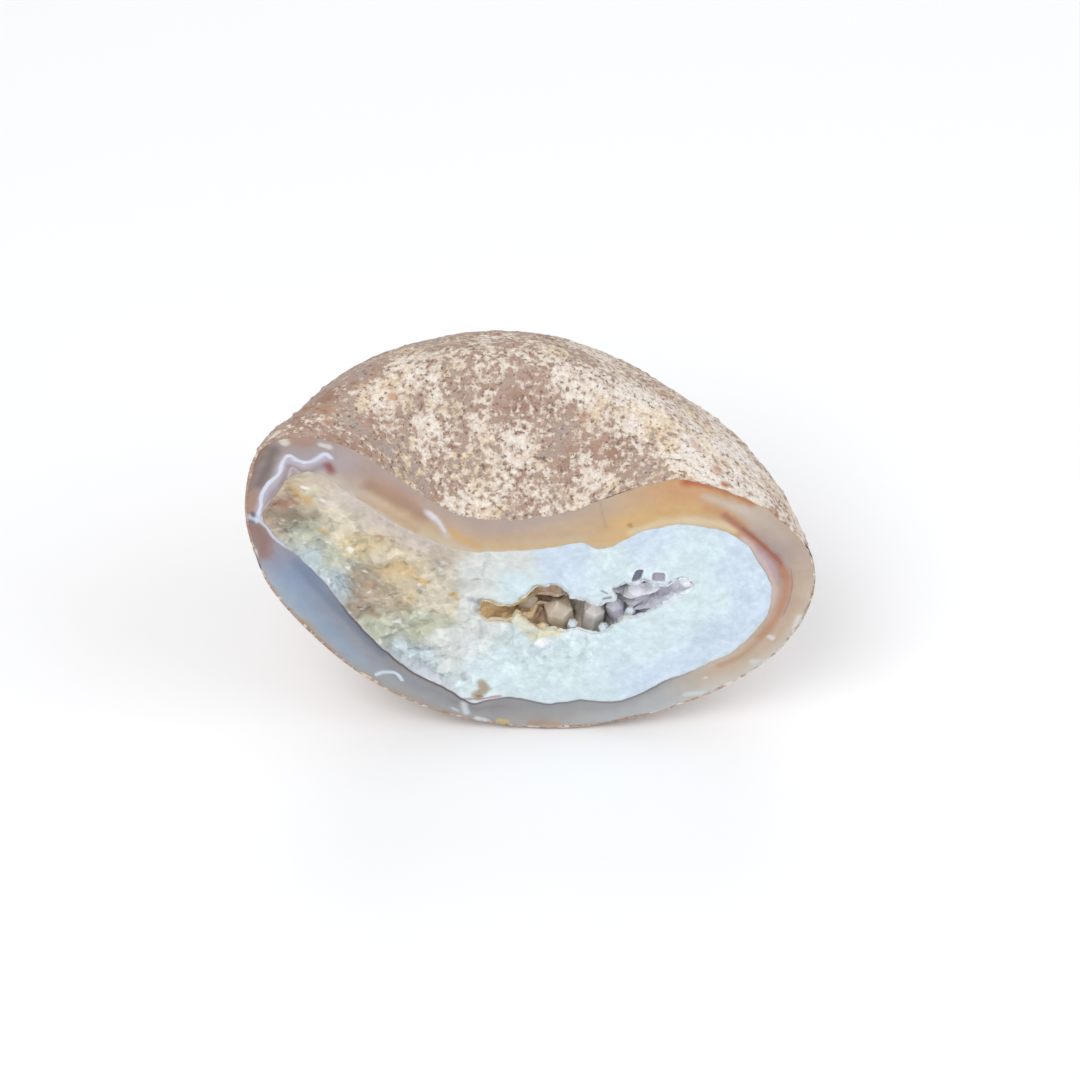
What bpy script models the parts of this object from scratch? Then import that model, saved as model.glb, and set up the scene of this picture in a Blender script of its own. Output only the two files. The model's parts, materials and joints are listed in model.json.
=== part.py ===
"""Geode half: one half of a sawn nodule, standing on its belly with the sawn face upright.

The agate shell holds a massive quartz lining, and a small vug in the lining holds quartz crystals.
Lengths are in millimetres in the nodule's own frame until the parts are placed: X runs along the
stone, Y runs back from the sawn face at y = 0, and Z runs up from the belly at z = 0.
"""

import math

import bmesh
import bpy
import numpy as np
from mathutils import Matrix, Vector

MM = 0.001

# Outline of the sawn face, anticlockwise from the left end (X, Z).
FACE_OUTLINE = (
    (-54.5, 53.0), (-50.0, 37.0), (-36.0, 17.5), (-20.0, 5.8), (-2.0, 0.8), (14.0, 1.8), (33.0, 8.8),
    (48.0, 21.0), (54.8, 36.0), (53.5, 50.0), (43.5, 61.5), (30.0, 67.5), (21.5, 66.3), (7.0, 60.0),
    (-3.5, 58.0), (-14.0, 59.0), (-25.0, 67.5), (-34.0, 75.5), (-44.0, 78.5), (-51.0, 75.5), (-54.3, 65.5),
)
# Outline of the full section behind the dented top edge (X, Z).
BODY_OUTLINE = (
    (-51.0, 55.0), (-46.0, 31.0), (-32.0, 11.0), (-14.0, -0.8), (0.0, -2.4), (14.0, -0.8), (32.0, 8.0),
    (46.0, 18.5), (53.0, 31.0), (54.0, 44.0), (47.0, 55.5), (36.0, 65.0), (23.0, 74.0), (9.0, 81.5),
    (-7.0, 84.5), (-24.0, 82.0), (-38.0, 77.0), (-48.0, 69.0),
)
# Where the chalcedony wall meets the quartz on the sawn face (X, Z).
WALL_OUTLINE = (
    (-52.0, 58.8), (-48.6, 51.9), (-41.4, 42.2), (-33.0, 27.5), (-24.5, 17.1), (-16.0, 11.0), (-12.7, 7.8),
    (-4.6, 9.5), (3.5, 7.5), (8.6, 8.6), (18.1, 8.6), (25.6, 13.4), (33.5, 17.9), (40.3, 22.7), (45.5, 30.5),
    (46.9, 38.4), (44.0, 46.5), (39.0, 53.2), (31.0, 56.0), (24.5, 55.5), (19.5, 53.4), (13.8, 49.5),
    (9.8, 51.3), (-0.4, 49.5), (-12.4, 49.3), (-19.0, 52.0), (-25.5, 56.0), (-35.5, 64.8), (-41.0, 69.3),
    (-46.0, 69.0), (-50.3, 64.5),
)
# Mouth of the vug on the sawn face (X, Z).
VUG_OUTLINE = (
    (-10.3, 33.6), (-7.4, 30.3), (-3.6, 30.6), (-2.5, 26.5), (0.8, 25.4), (4.7, 28.7), (8.4, 28.2),
    (10.4, 28.7), (12.6, 26.2), (15.8, 27.1), (18.3, 30.9), (22.2, 32.2), (25.1, 34.9), (28.9, 36.8),
    (31.0, 40.0), (28.0, 41.1), (25.5, 39.4), (22.5, 41.1), (16.4, 39.6), (15.5, 36.0), (11.3, 34.9),
    (7.0, 36.8), (3.8, 40.0), (0.5, 39.0), (-2.4, 36.3), (-6.0, 34.9),
)

# The outlines are drawn about HUB, and the sections close in on POLE at the back (X, Z).
HUB = (-4.0, 32.0)
POLE = (1.0, 39.0)
DEPTH = 52.0
FILL_DEPTH = 20.0
TOP_ROUNDING = 0.72
BELLY_ROUNDING = 0.3
BELLY_SPREAD = 0.9
WALL = 8.0

VUG_HUB = (10.0, 33.5)
VUG_DEPTH = 15.0
VUG_ROUNDING = 0.55
VUG_SINK = 2.4

CLEARANCE = 0.3
CUTTER_REACH = 3.0
LOOP_STEPS = 16

SHELL_SEGMENTS = 88
SHELL_RINGS = 14
VUG_SEGMENTS = 60
VUG_RINGS = 7

# Crystals of the vug: foot (X, Y, Z), lean (X, Y, Z), radius, prism length, point length, turn.
CRYSTALS = (
    ((-6.2, 5.6, 31.0), (0.10, -0.62, 0.70), 1.9, 2.6, 1.6, 10.0),
    ((-1.0, 7.6, 26.6), (-0.05, -0.30, 0.95), 2.5, 4.8, 2.4, 24.0),
    ((1.8, 2.9, 24.6), (0.12, -0.28, 0.95), 1.5, 2.2, 1.5, 5.0),
    ((5.4, 6.2, 25.2), (-0.06, -0.25, 0.97), 3.1, 4.6, 2.2, 17.0),
    ((7.9, 2.4, 27.2), (0.05, -0.50, 0.86), 1.1, 1.5, 1.0, 40.0),
    ((11.9, 5.9, 25.3), (0.10, -0.20, 0.97), 2.4, 4.4, 2.0, 3.0),
    ((14.3, 2.3, 25.6), (-0.10, -0.30, 0.95), 1.2, 2.0, 1.2, 30.0),
    ((16.9, 6.0, 27.6), (-0.14, -0.32, 0.94), 2.1, 3.6, 1.8, 48.0),
    ((21.6, 6.4, 30.6), (0.04, -0.36, 0.93), 2.3, 3.2, 1.9, 20.0),
    ((19.2, 2.6, 30.2), (0.15, -0.40, 0.90), 1.1, 1.7, 1.0, 8.0),
    ((25.9, 5.0, 34.2), (0.12, -0.40, 0.91), 1.7, 2.2, 1.5, 33.0),
    ((3.4, 11.2, 29.0), (0.10, -0.75, 0.62), 1.9, 2.8, 1.6, 44.0),
    ((9.4, 11.6, 30.0), (0.00, -0.86, 0.48), 1.7, 2.2, 1.6, 12.0),
    ((14.8, 11.0, 31.4), (-0.05, -0.88, 0.44), 1.6, 2.4, 1.5, 27.0),
)
CRYSTAL_ROOT = 1.6

# Colour (linear RGB), roughness.
AGATE_FINISH = ((0.42, 0.34, 0.27), 0.35)
QUARTZ_FINISH = ((0.66, 0.74, 0.76), 0.25)
CRYSTAL_FINISHES = (
    ((0.50, 0.40, 0.24), 0.18),
    ((0.46, 0.42, 0.38), 0.15),
    ((0.56, 0.58, 0.64), 0.12),
)


def smooth_loop(points):
    """Return a dense closed curve that passes through the points."""
    here = np.array(points, dtype=float)
    before = np.roll(here, 1, axis=0)
    after = np.roll(here, -1, axis=0)
    beyond = np.roll(here, -2, axis=0)
    curve = []
    for step in range(LOOP_STEPS):
        u = step / LOOP_STEPS
        slope = (after - before) * u
        bend = (2.0 * before - 5.0 * here + 4.0 * after - beyond) * u**2
        twist = (beyond - before + 3.0 * (here - after)) * u**3
        curve.append(0.5 * (2.0 * here + slope + bend + twist))
    return np.stack(curve, axis=1).reshape(-1, 2)


def radius_towards(points, hub, angle):
    """Return the distance from hub to the smooth outline at each angle."""
    offset = smooth_loop(points) - np.array(hub)
    turn = np.unwrap(np.arctan2(offset[:, 1], offset[:, 0]))
    reach = np.hypot(offset[:, 0], offset[:, 1])
    turn = np.append(turn, turn[0] + 2.0 * math.pi)
    reach = np.append(reach, reach[0])
    return np.interp(np.mod(angle - turn[0], 2.0 * math.pi) + turn[0], turn, reach)


def even_angles(points, share):
    """Return the angles about HUB that space the shares of a turn evenly along the outline."""
    loop = smooth_loop(points)
    closed = np.vstack((loop, loop[:1]))
    travelled = np.append(0.0, np.cumsum(np.hypot(*np.diff(closed, axis=0).T)))
    turn = np.unwrap(np.arctan2(closed[:, 1] - HUB[1], closed[:, 0] - HUB[0]))
    return np.interp(np.mod(share, 1.0) * travelled[-1], travelled, turn)


def ease(value):
    """Ease from 0 to 1 with level ends."""
    clipped = np.clip(value, 0.0, 1.0)
    return clipped * clipped * (3.0 - 2.0 * clipped)


def hemisphere(segments, rings):
    """Return an open unit hemisphere whose pole is on +Y, with each vertex's share of a turn and depth."""
    mesh = bmesh.new()
    turn = Matrix.Rotation(-math.pi / 2.0, 4, "X")
    bmesh.ops.create_uvsphere(mesh, u_segments=segments, v_segments=2 * rings, radius=1.0, matrix=turn)
    half_step = 0.5 * math.sin(0.5 * math.pi / rings)
    front = [vertex for vertex in mesh.verts if vertex.co.y < -half_step]
    bmesh.ops.delete(mesh, geom=front, context="VERTS")
    place = np.array([vertex.co for vertex in mesh.verts])
    around = np.arctan2(place[:, 2], place[:, 0]) / (2.0 * math.pi)
    inward = np.arcsin(np.clip(place[:, 1], 0.0, 1.0)) / (0.5 * math.pi)
    return mesh, np.mod(around, 1.0), inward


def move_vertices(mesh, places):
    """Move every vertex of the mesh to its place in the array."""
    for vertex, place in zip(mesh.verts, places):
        vertex.co = Vector(place)


def close_front(mesh, reach):
    """Close the open rim, after drawing it forward by reach where that is above zero."""
    rim = [edge for edge in mesh.edges if edge.is_boundary]
    if reach > 0.0:
        drawn = bmesh.ops.extrude_edge_only(mesh, edges=rim)["geom"]
        forward = [item for item in drawn if isinstance(item, bmesh.types.BMVert)]
        bmesh.ops.translate(mesh, verts=forward, vec=(0.0, -reach, 0.0))
        rim = [edge for edge in mesh.edges if edge.is_boundary]
    bmesh.ops.edgeloop_fill(mesh, edges=rim)
    bmesh.ops.recalc_face_normals(mesh, faces=mesh.faces)


def nodule_places(outline, around, inward, inset, gap):
    """Return places on the nodule's form, inset from its skin and then drawn in by the gap."""
    angle = even_angles(outline, around)
    face_reach = radius_towards(outline, HUB, angle) - gap
    body_reach = radius_towards(BODY_OUTLINE, HUB, angle) - inset - gap
    turn = 0.5 * math.pi * inward
    depth = (DEPTH - inset - gap) * np.sin(turn)
    down = ease((-np.sin(angle) - 1.0 + BELLY_SPREAD) / BELLY_SPREAD)
    rounding = TOP_ROUNDING + (BELLY_ROUNDING - TOP_ROUNDING) * down
    shrink = np.cos(turn) ** rounding
    filled = ease(depth / FILL_DEPTH)
    reach = (1.0 - filled) * face_reach + filled * body_reach
    wide = POLE[0] + shrink * (HUB[0] + reach * np.cos(angle) - POLE[0])
    high = POLE[1] + shrink * (HUB[1] + reach * np.sin(angle) - POLE[1])
    return np.stack((wide, depth, high), axis=1)


def nodule_body(outline, inset, gap, reach):
    """Return a closed body of the nodule's form, drawn forward by reach and flat underneath."""
    mesh, around, inward = hemisphere(SHELL_SEGMENTS, SHELL_RINGS)
    places = nodule_places(outline, around, inward, inset, gap)
    places[:, 2] = np.maximum(places[:, 2], 0.0)
    move_vertices(mesh, places)
    close_front(mesh, reach)
    return mesh


def vug_body(reach):
    """Return the closed bowl of the vug, drawn forward by reach."""
    mesh, around, inward = hemisphere(VUG_SEGMENTS, VUG_RINGS)
    loop = smooth_loop(VUG_OUTLINE)
    closed = np.vstack((loop, loop[:1]))
    step = np.arange(len(closed))
    rim_x = np.interp(around * len(loop), step, closed[:, 0])
    rim_z = np.interp(around * len(loop), step, closed[:, 1])
    turn = 0.5 * math.pi * inward
    shrink = np.cos(turn) ** VUG_ROUNDING
    sink = VUG_SINK * ease(2.0 * inward)
    places = np.stack(
        (
            VUG_HUB[0] + shrink * (rim_x - VUG_HUB[0]),
            VUG_DEPTH * np.sin(turn),
            VUG_HUB[1] - sink + shrink * (rim_z - VUG_HUB[1]),
        ),
        axis=1,
    )
    move_vertices(mesh, places)
    close_front(mesh, reach)
    return mesh


def crystal_body(foot, lean, radius, prism, point, turn, gap):
    """Return a six-sided crystal with a pointed end, grown by gap on every side."""
    mesh = bmesh.new()
    length = prism + CRYSTAL_ROOT + gap
    bmesh.ops.create_cone(
        mesh,
        segments=6,
        radius1=radius + gap,
        radius2=0.94 * radius + gap,
        depth=length,
        cap_ends=True,
        matrix=Matrix.Translation((0.0, 0.0, 0.5 * length - CRYSTAL_ROOT - gap)),
    )
    top = [face for face in mesh.faces if face.normal.z > 0.9]
    bmesh.ops.poke(mesh, faces=top, offset=point + gap)
    upright = Vector((0.0, 0.0, 1.0)).rotation_difference(Vector(lean)).to_matrix().to_4x4()
    spin = Matrix.Rotation(math.radians(turn), 4, "Z")
    mesh.transform(Matrix.Translation(foot) @ upright @ spin)
    bmesh.ops.recalc_face_normals(mesh, faces=mesh.faces)
    return mesh


def nodule_shift():
    """Return the move that puts the origin under the middle of the nodule's box."""
    mesh = nodule_body(FACE_OUTLINE, 0.0, 0.0, 0.0)
    places = np.array([vertex.co for vertex in mesh.verts])
    mesh.free()
    low = places.min(axis=0)
    high = places.max(axis=0)
    return Vector((-0.5 * (low[0] + high[0]), -0.5 * (low[1] + high[1]), -low[2]))


def finish(name, colour, roughness):
    """Return a Principled material."""
    material = bpy.data.materials.new(name)
    material.use_nodes = True
    shader = material.node_tree.nodes["Principled BSDF"]
    shader.inputs["Base Color"].default_value = (*colour, 1.0)
    shader.inputs["Roughness"].default_value = roughness
    shader.inputs["Metallic"].default_value = 0.0
    material.diffuse_color = (*colour, 1.0)
    return material


def place(mesh, name, collection, shift, material=None):
    """Turn a bmesh in nodule millimetres into an object of the collection, in metres."""
    mesh.transform(Matrix.Scale(MM, 4) @ Matrix.Translation(shift))
    data = bpy.data.meshes.new(name)
    mesh.to_mesh(data)
    mesh.free()
    part = bpy.data.objects.new(name, data)
    collection.objects.link(part)
    if material is None:
        part.hide_render = True
        part.display_type = "WIRE"
    else:
        data.materials.append(material)
    return part


def cut(part, cutter):
    """Subtract the cutter from the part."""
    modifier = part.modifiers.new("cut_" + cutter.name, "BOOLEAN")
    modifier.operation = "DIFFERENCE"
    modifier.solver = "EXACT"
    modifier.object = cutter


def build_shell(parts, cutters, shift):
    """Make the agate shell: weathered rind and chalcedony wall, open at the sawn face."""
    shell = place(
        nodule_body(FACE_OUTLINE, 0.0, 0.0, 0.0), "agate_shell", parts, shift, finish("agate", *AGATE_FINISH)
    )
    hollow = nodule_body(WALL_OUTLINE, WALL, 0.0, CUTTER_REACH)
    cut(shell, place(hollow, "shell_hollow", cutters, shift))


def build_lining(parts, cutters, shift):
    """Make the quartz lining that fills the shell, with the open vug in its face."""
    body = nodule_body(WALL_OUTLINE, WALL, CLEARANCE, 0.0)
    lining = place(body, "quartz_lining", parts, shift, finish("quartz", *QUARTZ_FINISH))
    cut(lining, place(vug_body(CUTTER_REACH), "vug_hollow", cutters, shift))
    return lining


def build_crystals(parts, cutters, shift, lining):
    """Stand each crystal of the vug in its own socket in the lining."""
    for index, (foot, lean, radius, prism, point, turn) in enumerate(CRYSTALS):
        name = f"vug_crystal_{index + 1:02d}"
        material = finish(name, *CRYSTAL_FINISHES[index % len(CRYSTAL_FINISHES)])
        place(crystal_body(foot, lean, radius, prism, point, turn, 0.0), name, parts, shift, material)
        socket = crystal_body(foot, lean, radius, prism, point, turn, CLEARANCE)
        cut(lining, place(socket, "socket_" + name, cutters, shift))


def main():
    """Build the geode half."""
    for item in list(bpy.data.objects):
        bpy.data.objects.remove(item, do_unlink=True)
    parts = bpy.data.collections.new("geode_half")
    cutters = bpy.data.collections.new("geode_half_cutters")
    bpy.context.scene.collection.children.link(parts)
    bpy.context.scene.collection.children.link(cutters)
    shift = nodule_shift()
    build_shell(parts, cutters, shift)
    lining = build_lining(parts, cutters, shift)
    build_crystals(parts, cutters, shift, lining)


main()
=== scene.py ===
"""Geode half: the look of a sawn, kidney-shaped geode that stands with its sawn face upright.

The weathered rind, the chalcedony wall and the quartz lining are fine meshes laid over the CAD solids,
and quartz crystals stand in the vug. Shape is worked out in millimetres in the row frame, and each mesh
is scaled to metres as it is written.
"""

import json
import logging
import math
from dataclasses import dataclass, field
from enum import Enum

import bmesh
import bpy
import numpy as np
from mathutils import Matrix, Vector
from mathutils.bvhtree import BVHTree

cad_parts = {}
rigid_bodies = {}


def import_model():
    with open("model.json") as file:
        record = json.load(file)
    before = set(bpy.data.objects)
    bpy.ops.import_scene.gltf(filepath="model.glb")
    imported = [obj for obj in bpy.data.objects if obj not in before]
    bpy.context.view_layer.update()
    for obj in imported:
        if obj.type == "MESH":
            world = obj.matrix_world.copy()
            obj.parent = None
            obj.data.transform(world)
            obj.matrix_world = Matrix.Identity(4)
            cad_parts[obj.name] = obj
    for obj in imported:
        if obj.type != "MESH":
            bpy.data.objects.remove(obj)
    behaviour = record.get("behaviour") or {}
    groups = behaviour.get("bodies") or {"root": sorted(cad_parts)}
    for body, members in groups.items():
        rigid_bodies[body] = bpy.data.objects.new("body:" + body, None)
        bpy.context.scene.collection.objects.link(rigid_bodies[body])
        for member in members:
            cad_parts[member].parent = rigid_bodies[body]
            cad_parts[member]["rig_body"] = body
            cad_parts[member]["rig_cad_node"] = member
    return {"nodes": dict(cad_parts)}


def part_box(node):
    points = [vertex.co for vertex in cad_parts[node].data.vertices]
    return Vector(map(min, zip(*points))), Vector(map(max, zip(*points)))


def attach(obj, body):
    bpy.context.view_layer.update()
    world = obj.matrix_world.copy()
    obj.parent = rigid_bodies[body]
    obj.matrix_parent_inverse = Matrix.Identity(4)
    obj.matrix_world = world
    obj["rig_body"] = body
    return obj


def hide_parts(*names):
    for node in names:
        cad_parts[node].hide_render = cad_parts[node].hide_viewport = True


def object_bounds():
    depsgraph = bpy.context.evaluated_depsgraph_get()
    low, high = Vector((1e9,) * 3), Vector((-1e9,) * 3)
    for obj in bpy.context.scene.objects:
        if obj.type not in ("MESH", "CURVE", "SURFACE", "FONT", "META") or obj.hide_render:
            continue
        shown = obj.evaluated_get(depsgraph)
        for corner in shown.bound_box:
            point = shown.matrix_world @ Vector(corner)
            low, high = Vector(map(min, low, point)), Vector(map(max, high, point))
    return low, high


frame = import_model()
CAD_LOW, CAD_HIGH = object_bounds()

LOG = logging.getLogger("geode_half")
MM = 0.001
FULL_TURN = 2.0 * math.pi

FACE_Y = CAD_LOW.y / MM
BACK_Y = CAD_HIGH.y / MM
DEPTH = BACK_Y - FACE_Y

# Constants of the integer hash behind every noise.
HASH_SEED, HASH_START, HASH_MIX = 374761393, 668265263, 0x9E3779B97F4A7C15
HASH_AXES = (73856093, 19349663, 83492791)
HASH_BITS = 0xFFFFFF
# How many places are measured against a curve at once, to spare memory.
CHUNK = 4096
QUARTZ_IOR = 1.544

# The camera: its rise above the horizontal, its distance and the X and Z that it looks at, in metres,
# and its lens and sensor in millimetres.
CAMERA_RISE = math.radians(42.0)
CAMERA_DISTANCE = 0.6
CAMERA_TARGET = (0.0013, 0.0521)
CAMERA_LENS = 103.8
CAMERA_SENSOR = 36.0

# A Mix node's settings that multiply one colour by another.
MULTIPLIED = {"data_type": "RGBA", "blend_type": "MULTIPLY", 0: 1.0}


class Grade(Enum):
    """How a mesh's shading treats its edges, as the sharpest angle that is still smoothed."""

    ROUNDED = math.radians(60.0)
    SAWN = math.radians(35.0)
    FACETED = math.radians(9.0)


class Slot(Enum):
    """The record's material slots."""

    AGATE = "agate"
    QUARTZ = "quartz"
    VUG_CRYSTAL = "vug_crystal"


class Crystal(Enum):
    """Kinds of crystal in the vug: material name, colour, and the colour deep in the body."""

    STAINED = ("iron_stained_quartz", "#DDBB88", "#C39C6C")
    BROWN = ("smoky_brown_quartz", "#CDA58C", "#A9856F")
    BEIGE = ("smoky_quartz", "#D9CFBE", "#C4B8A4")
    STRAW = ("straw_quartz", "#F3EAC6", "#E3D4A6")
    GREY = ("grey_quartz", "#E2DED8", "#CBC5BE")
    LILAC = ("lilac_grey_quartz", "#E5E3EE", "#CECBDA")
    MILKY = ("milky_quartz", "#E0EAEE", "#CBD8DE")


class Tone(Enum):
    """The stone's natural colours, as sRGB hex."""

    SOOT = "#6E6762"
    UMBER = "#84695F"
    ROSE_BROWN = "#9A776B"
    MAUVE = "#A2928F"
    LILAC = "#A99D9D"
    LILAC_TAN = "#AF9B92"
    TAN = "#B9A18E"
    HONEY = "#C2A686"
    STRAW = "#C8B79B"
    BISQUE = "#C4B6A6"
    AMBER = "#D0AA72"
    GOLD = "#C8996A"
    CLAY = "#B38C74"
    SLATE = "#7F90AC"
    DEEP_SLATE = "#71819B"
    STEEL = "#8E9FB4"
    PEARL = "#A6AEB8"
    ASH = "#9C9C9D"
    PEWTER = "#8E9198"
    TAUPE = "#A49A92"
    DUSK = "#8A8587"
    SILVER = "#AFB1B2"
    MIST = "#BCC2C4"
    SHELL = "#C9C8C0"
    SAND = "#BFA890"
    ICE = "#D6E7EB"
    PERIWINKLE = "#CFDEEC"
    MILK = "#D9DDD9"
    CREAM = "#D5CBB4"
    BLUSH = "#CEC1B5"
    BUTTER = "#D6C49C"
    OLIVE = "#9A917B"
    SAGE = "#BFC2AE"
    SEA = "#BCC8CC"
    SMOKE = "#B0A18C"


# --------------------------------------------------------------------------------------------------
# Colour and nodes


def linear(code: str) -> tuple[float, float, float, float]:
    """Turn an sRGB hex colour into linear RGBA.

    Args:
        code: Six hex digits, with or without a leading hash.

    Returns:
        The linear colour, with alpha 1.
    """
    digits = code.lstrip("#")
    shares = [int(digits[start : start + 2], 16) / 255.0 for start in (0, 2, 4)]
    channels = [s / 12.92 if s <= 0.04045 else ((s + 0.055) / 1.055) ** 2.4 for s in shares]
    return (*channels, 1.0)


def rgb(code: str) -> np.ndarray:
    """Return an sRGB hex colour as linear RGB."""
    return np.array(linear(code)[:3])


def overlay(colour: np.ndarray, cover: np.ndarray, over: np.ndarray | float) -> np.ndarray:
    """Lay one colour over another.

    Args:
        colour: Linear RGB, one row for each place.
        cover: How much of each place is covered, from 0 to 1.
        over: The linear RGB laid on, or one grey value.

    Returns:
        The colour with the other over it.
    """
    return colour * (1.0 - cover[:, None]) + over * cover[:, None]


def swells(size: float, detail: float, roughness: float) -> dict:
    """Return a Noise node's settings for swells of a size in millimetres."""
    return {"Scale": 1.0 / (size * MM), "Detail": detail, "Roughness": roughness}


class Recipe:
    """A material being made: its node tree, its shader, and each point's place on the stone."""

    def __init__(self, name: str) -> None:
        """Start the material of this name.

        Args:
            name: The material's name.
        """
        self.material = bpy.data.materials.new(name)
        self.material.use_nodes = True
        self.tree = self.material.node_tree
        self.shader = self.tree.nodes["Principled BSDF"]
        self.place = self.add("TexCoord", out="Object")

    def add(
        self, kind: str, settings: dict | None = None, links: dict | None = None, out: str | int = 0
    ) -> bpy.types.NodeSocket:
        """Add a node with its settings and its links.

        Args:
            kind: The node's type name, without its prefix.
            settings: Properties by name, sockets by name or number, and a ramp's stops as (place, hex).
            links: The output socket that feeds each input, by the input's name or number.
            out: The output that is wanted, by name or number.

        Returns:
            That output socket.
        """
        made = self.tree.nodes.new("ShaderNode" + kind)
        for name, value in (settings or {}).items():
            if name == "stops":
                stops = made.color_ramp.elements
                while len(stops) < len(value):
                    stops.new(1.0)
                for stop, (place, code) in zip(stops, value):
                    stop.position = place
                    stop.color = linear(code)
            elif isinstance(name, str) and hasattr(made, name):
                setattr(made, name, value)
            else:
                made.inputs[name].default_value = value
        for name, source in (links or {}).items():
            self.tree.links.new(source, made.inputs[name])
        return made.outputs[out]

    def finish(self, settings: dict, links: dict) -> bpy.types.Material:
        """Set up the shader itself.

        Args:
            settings: Values for the shader's own sockets.
            links: The output socket that feeds each of its other inputs.

        Returns:
            The finished material.
        """
        for name, value in settings.items():
            self.shader.inputs[name].default_value = value
        for name, source in links.items():
            self.tree.links.new(source, self.shader.inputs[name])
        return self.material


# --------------------------------------------------------------------------------------------------
# Patterns on points


def hashed(cells: np.ndarray, seed: int) -> np.ndarray:
    """Give every whole-number cell its own share from 0 to 1.

    Args:
        cells: Whole numbers, one row for each cell.
        seed: Which set of shares to draw.

    Returns:
        One share for each row.
    """
    mixed = np.full(cells.shape[:-1], seed * HASH_SEED + HASH_START, dtype=np.uint64)
    for axis, prime in enumerate(HASH_AXES[: cells.shape[-1]]):
        mixed = mixed ^ (cells[..., axis].astype(np.int64).astype(np.uint64) * np.uint64(prime))
        mixed = (mixed ^ (mixed >> np.uint64(29))) * np.uint64(HASH_MIX)
        mixed = mixed ^ (mixed >> np.uint64(32))
    return (mixed & np.uint64(HASH_BITS)).astype(float) / float(HASH_BITS)


def soft_noise(points: np.ndarray, size: float, seed: int) -> np.ndarray:
    """Return smooth noise from -1 to 1.

    Args:
        points: Places in millimetres, one row each, in two or three dimensions.
        size: The width of one swell in millimetres.
        seed: Which pattern to draw.

    Returns:
        One value for each place.
    """
    scaled = points / size
    base = np.floor(scaled).astype(np.int64)
    part = scaled - base
    eased = part * part * part * (part * (6.0 * part - 15.0) + 10.0)
    total = np.zeros(len(points))
    dimensions = points.shape[-1]
    for corner in range(2**dimensions):
        step = np.array([(corner >> axis) & 1 for axis in range(dimensions)])
        weight = np.prod(np.where(step == 1, eased, 1.0 - eased), axis=1)
        total += weight * hashed(base + step, seed)
    return 2.0 * total - 1.0


def layered_noise(points: np.ndarray, size: float, seed: int, layers: int = 4) -> np.ndarray:
    """Return noise with finer layers, each half as wide and half as strong as the one before.

    Args:
        points: Places in millimetres, one row each.
        size: The width of the coarsest swell in millimetres.
        seed: Which pattern to draw.
        layers: How many layers to add up.

    Returns:
        One value for each place, mostly from -1 to 1.
    """
    total = np.zeros(len(points))
    for layer in range(layers):
        total += soft_noise(points, size / 2**layer, seed + 17 * layer) / 2**layer
    return total / (2.0 - 2.0 ** (1 - layers))


@dataclass
class Cells:
    """Which jittered cell each place lies in, as pits and grains divide a surface."""

    near: np.ndarray
    share: np.ndarray


def grain_cells(points: np.ndarray, size: float, seed: int) -> Cells:
    """Divide the places among jittered cells.

    Args:
        points: Places in millimetres, one row each, in two or three dimensions.
        size: The width of a cell in millimetres.
        seed: Which pattern to draw.

    Returns:
        Each place's distance to its cell's centre, and its cell's share.
    """
    dimensions = points.shape[-1]
    base = np.floor(points / size).astype(np.int64)
    nearest = np.full(len(points), np.inf)
    share = np.zeros(len(points))
    for corner in range(3**dimensions):
        cell = base + np.array([(corner // 3**axis) % 3 - 1 for axis in range(dimensions)])
        jitter = np.stack([hashed(cell, seed + 31 * axis) for axis in range(dimensions)], axis=1)
        distance = np.linalg.norm(points - (cell + 0.08 + 0.84 * jitter) * size, axis=1)
        share = np.where(distance < nearest, hashed(cell, seed + 101), share)
        nearest = np.minimum(nearest, distance)
    return Cells(nearest, share)


@dataclass
class Tips:
    """Crowded crystal tips: the height in millimetres, and a share for each flat face."""

    height: np.ndarray
    face: np.ndarray


def crystal_tips(points: np.ndarray, size: float, slope: float, seed: int, sides: int = 6) -> Tips:
    """Crowd a surface with flat-faced crystal tips that cut into each other.

    Args:
        points: Places in millimetres, one row each, in two or three dimensions.
        size: The usual distance between tips in millimetres.
        slope: How steeply the faces fall away from each tip.
        seed: Which pattern to draw.
        sides: How many faces each tip has.

    Returns:
        The tips' height, and their faces' shares, at each place.
    """
    dimensions = points.shape[-1]
    base = np.floor(points / size).astype(np.int64)
    found = Tips(np.full(len(points), -np.inf), np.zeros(len(points)))
    for corner in range(3**dimensions):
        cell = base + np.array([(corner // 3**axis) % 3 - 1 for axis in range(dimensions)])
        jitter = np.stack([hashed(cell, seed + 31 * axis) for axis in range(dimensions)], axis=1)
        offset = points - (cell + 0.05 + 0.9 * jitter) * size
        turn = hashed(cell, seed + 57)
        reach = np.full(len(points), -np.inf)
        side = np.zeros(len(points))
        for number in range(sides):
            if dimensions == 2:
                angle = FULL_TURN * (turn + (number + 0.5 * hashed(cell, seed + 200 + number)) / sides)
                away = offset[:, 0] * np.cos(angle) + offset[:, 1] * np.sin(angle)
            else:
                draws = [hashed(cell, seed + 200 + 10 * number + axis) for axis in range(3)]
                aim = np.stack(draws, axis=1) - 0.5
                away = np.abs(np.sum(offset * aim, axis=1)) / np.linalg.norm(aim, axis=1)
            side = np.where(away > reach, number, side)
            reach = np.maximum(reach, away)
        tip = hashed(cell, seed + 101)
        level = 0.55 * size * tip - slope * reach
        higher = level > found.height
        found.height = np.where(higher, level, found.height)
        found.face = np.where(higher, np.mod(tip * 37.0 + 0.382 * side, 1.0), found.face)
    return found


def ease(value: np.ndarray | float, low: float = 0.0, high: float = 1.0) -> np.ndarray:
    """Ease from 0 at low to 1 at high, level at both ends."""
    clipped = np.clip((value - low) / (high - low), 0.0, 1.0)
    return clipped * clipped * (3.0 - 2.0 * clipped)


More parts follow.
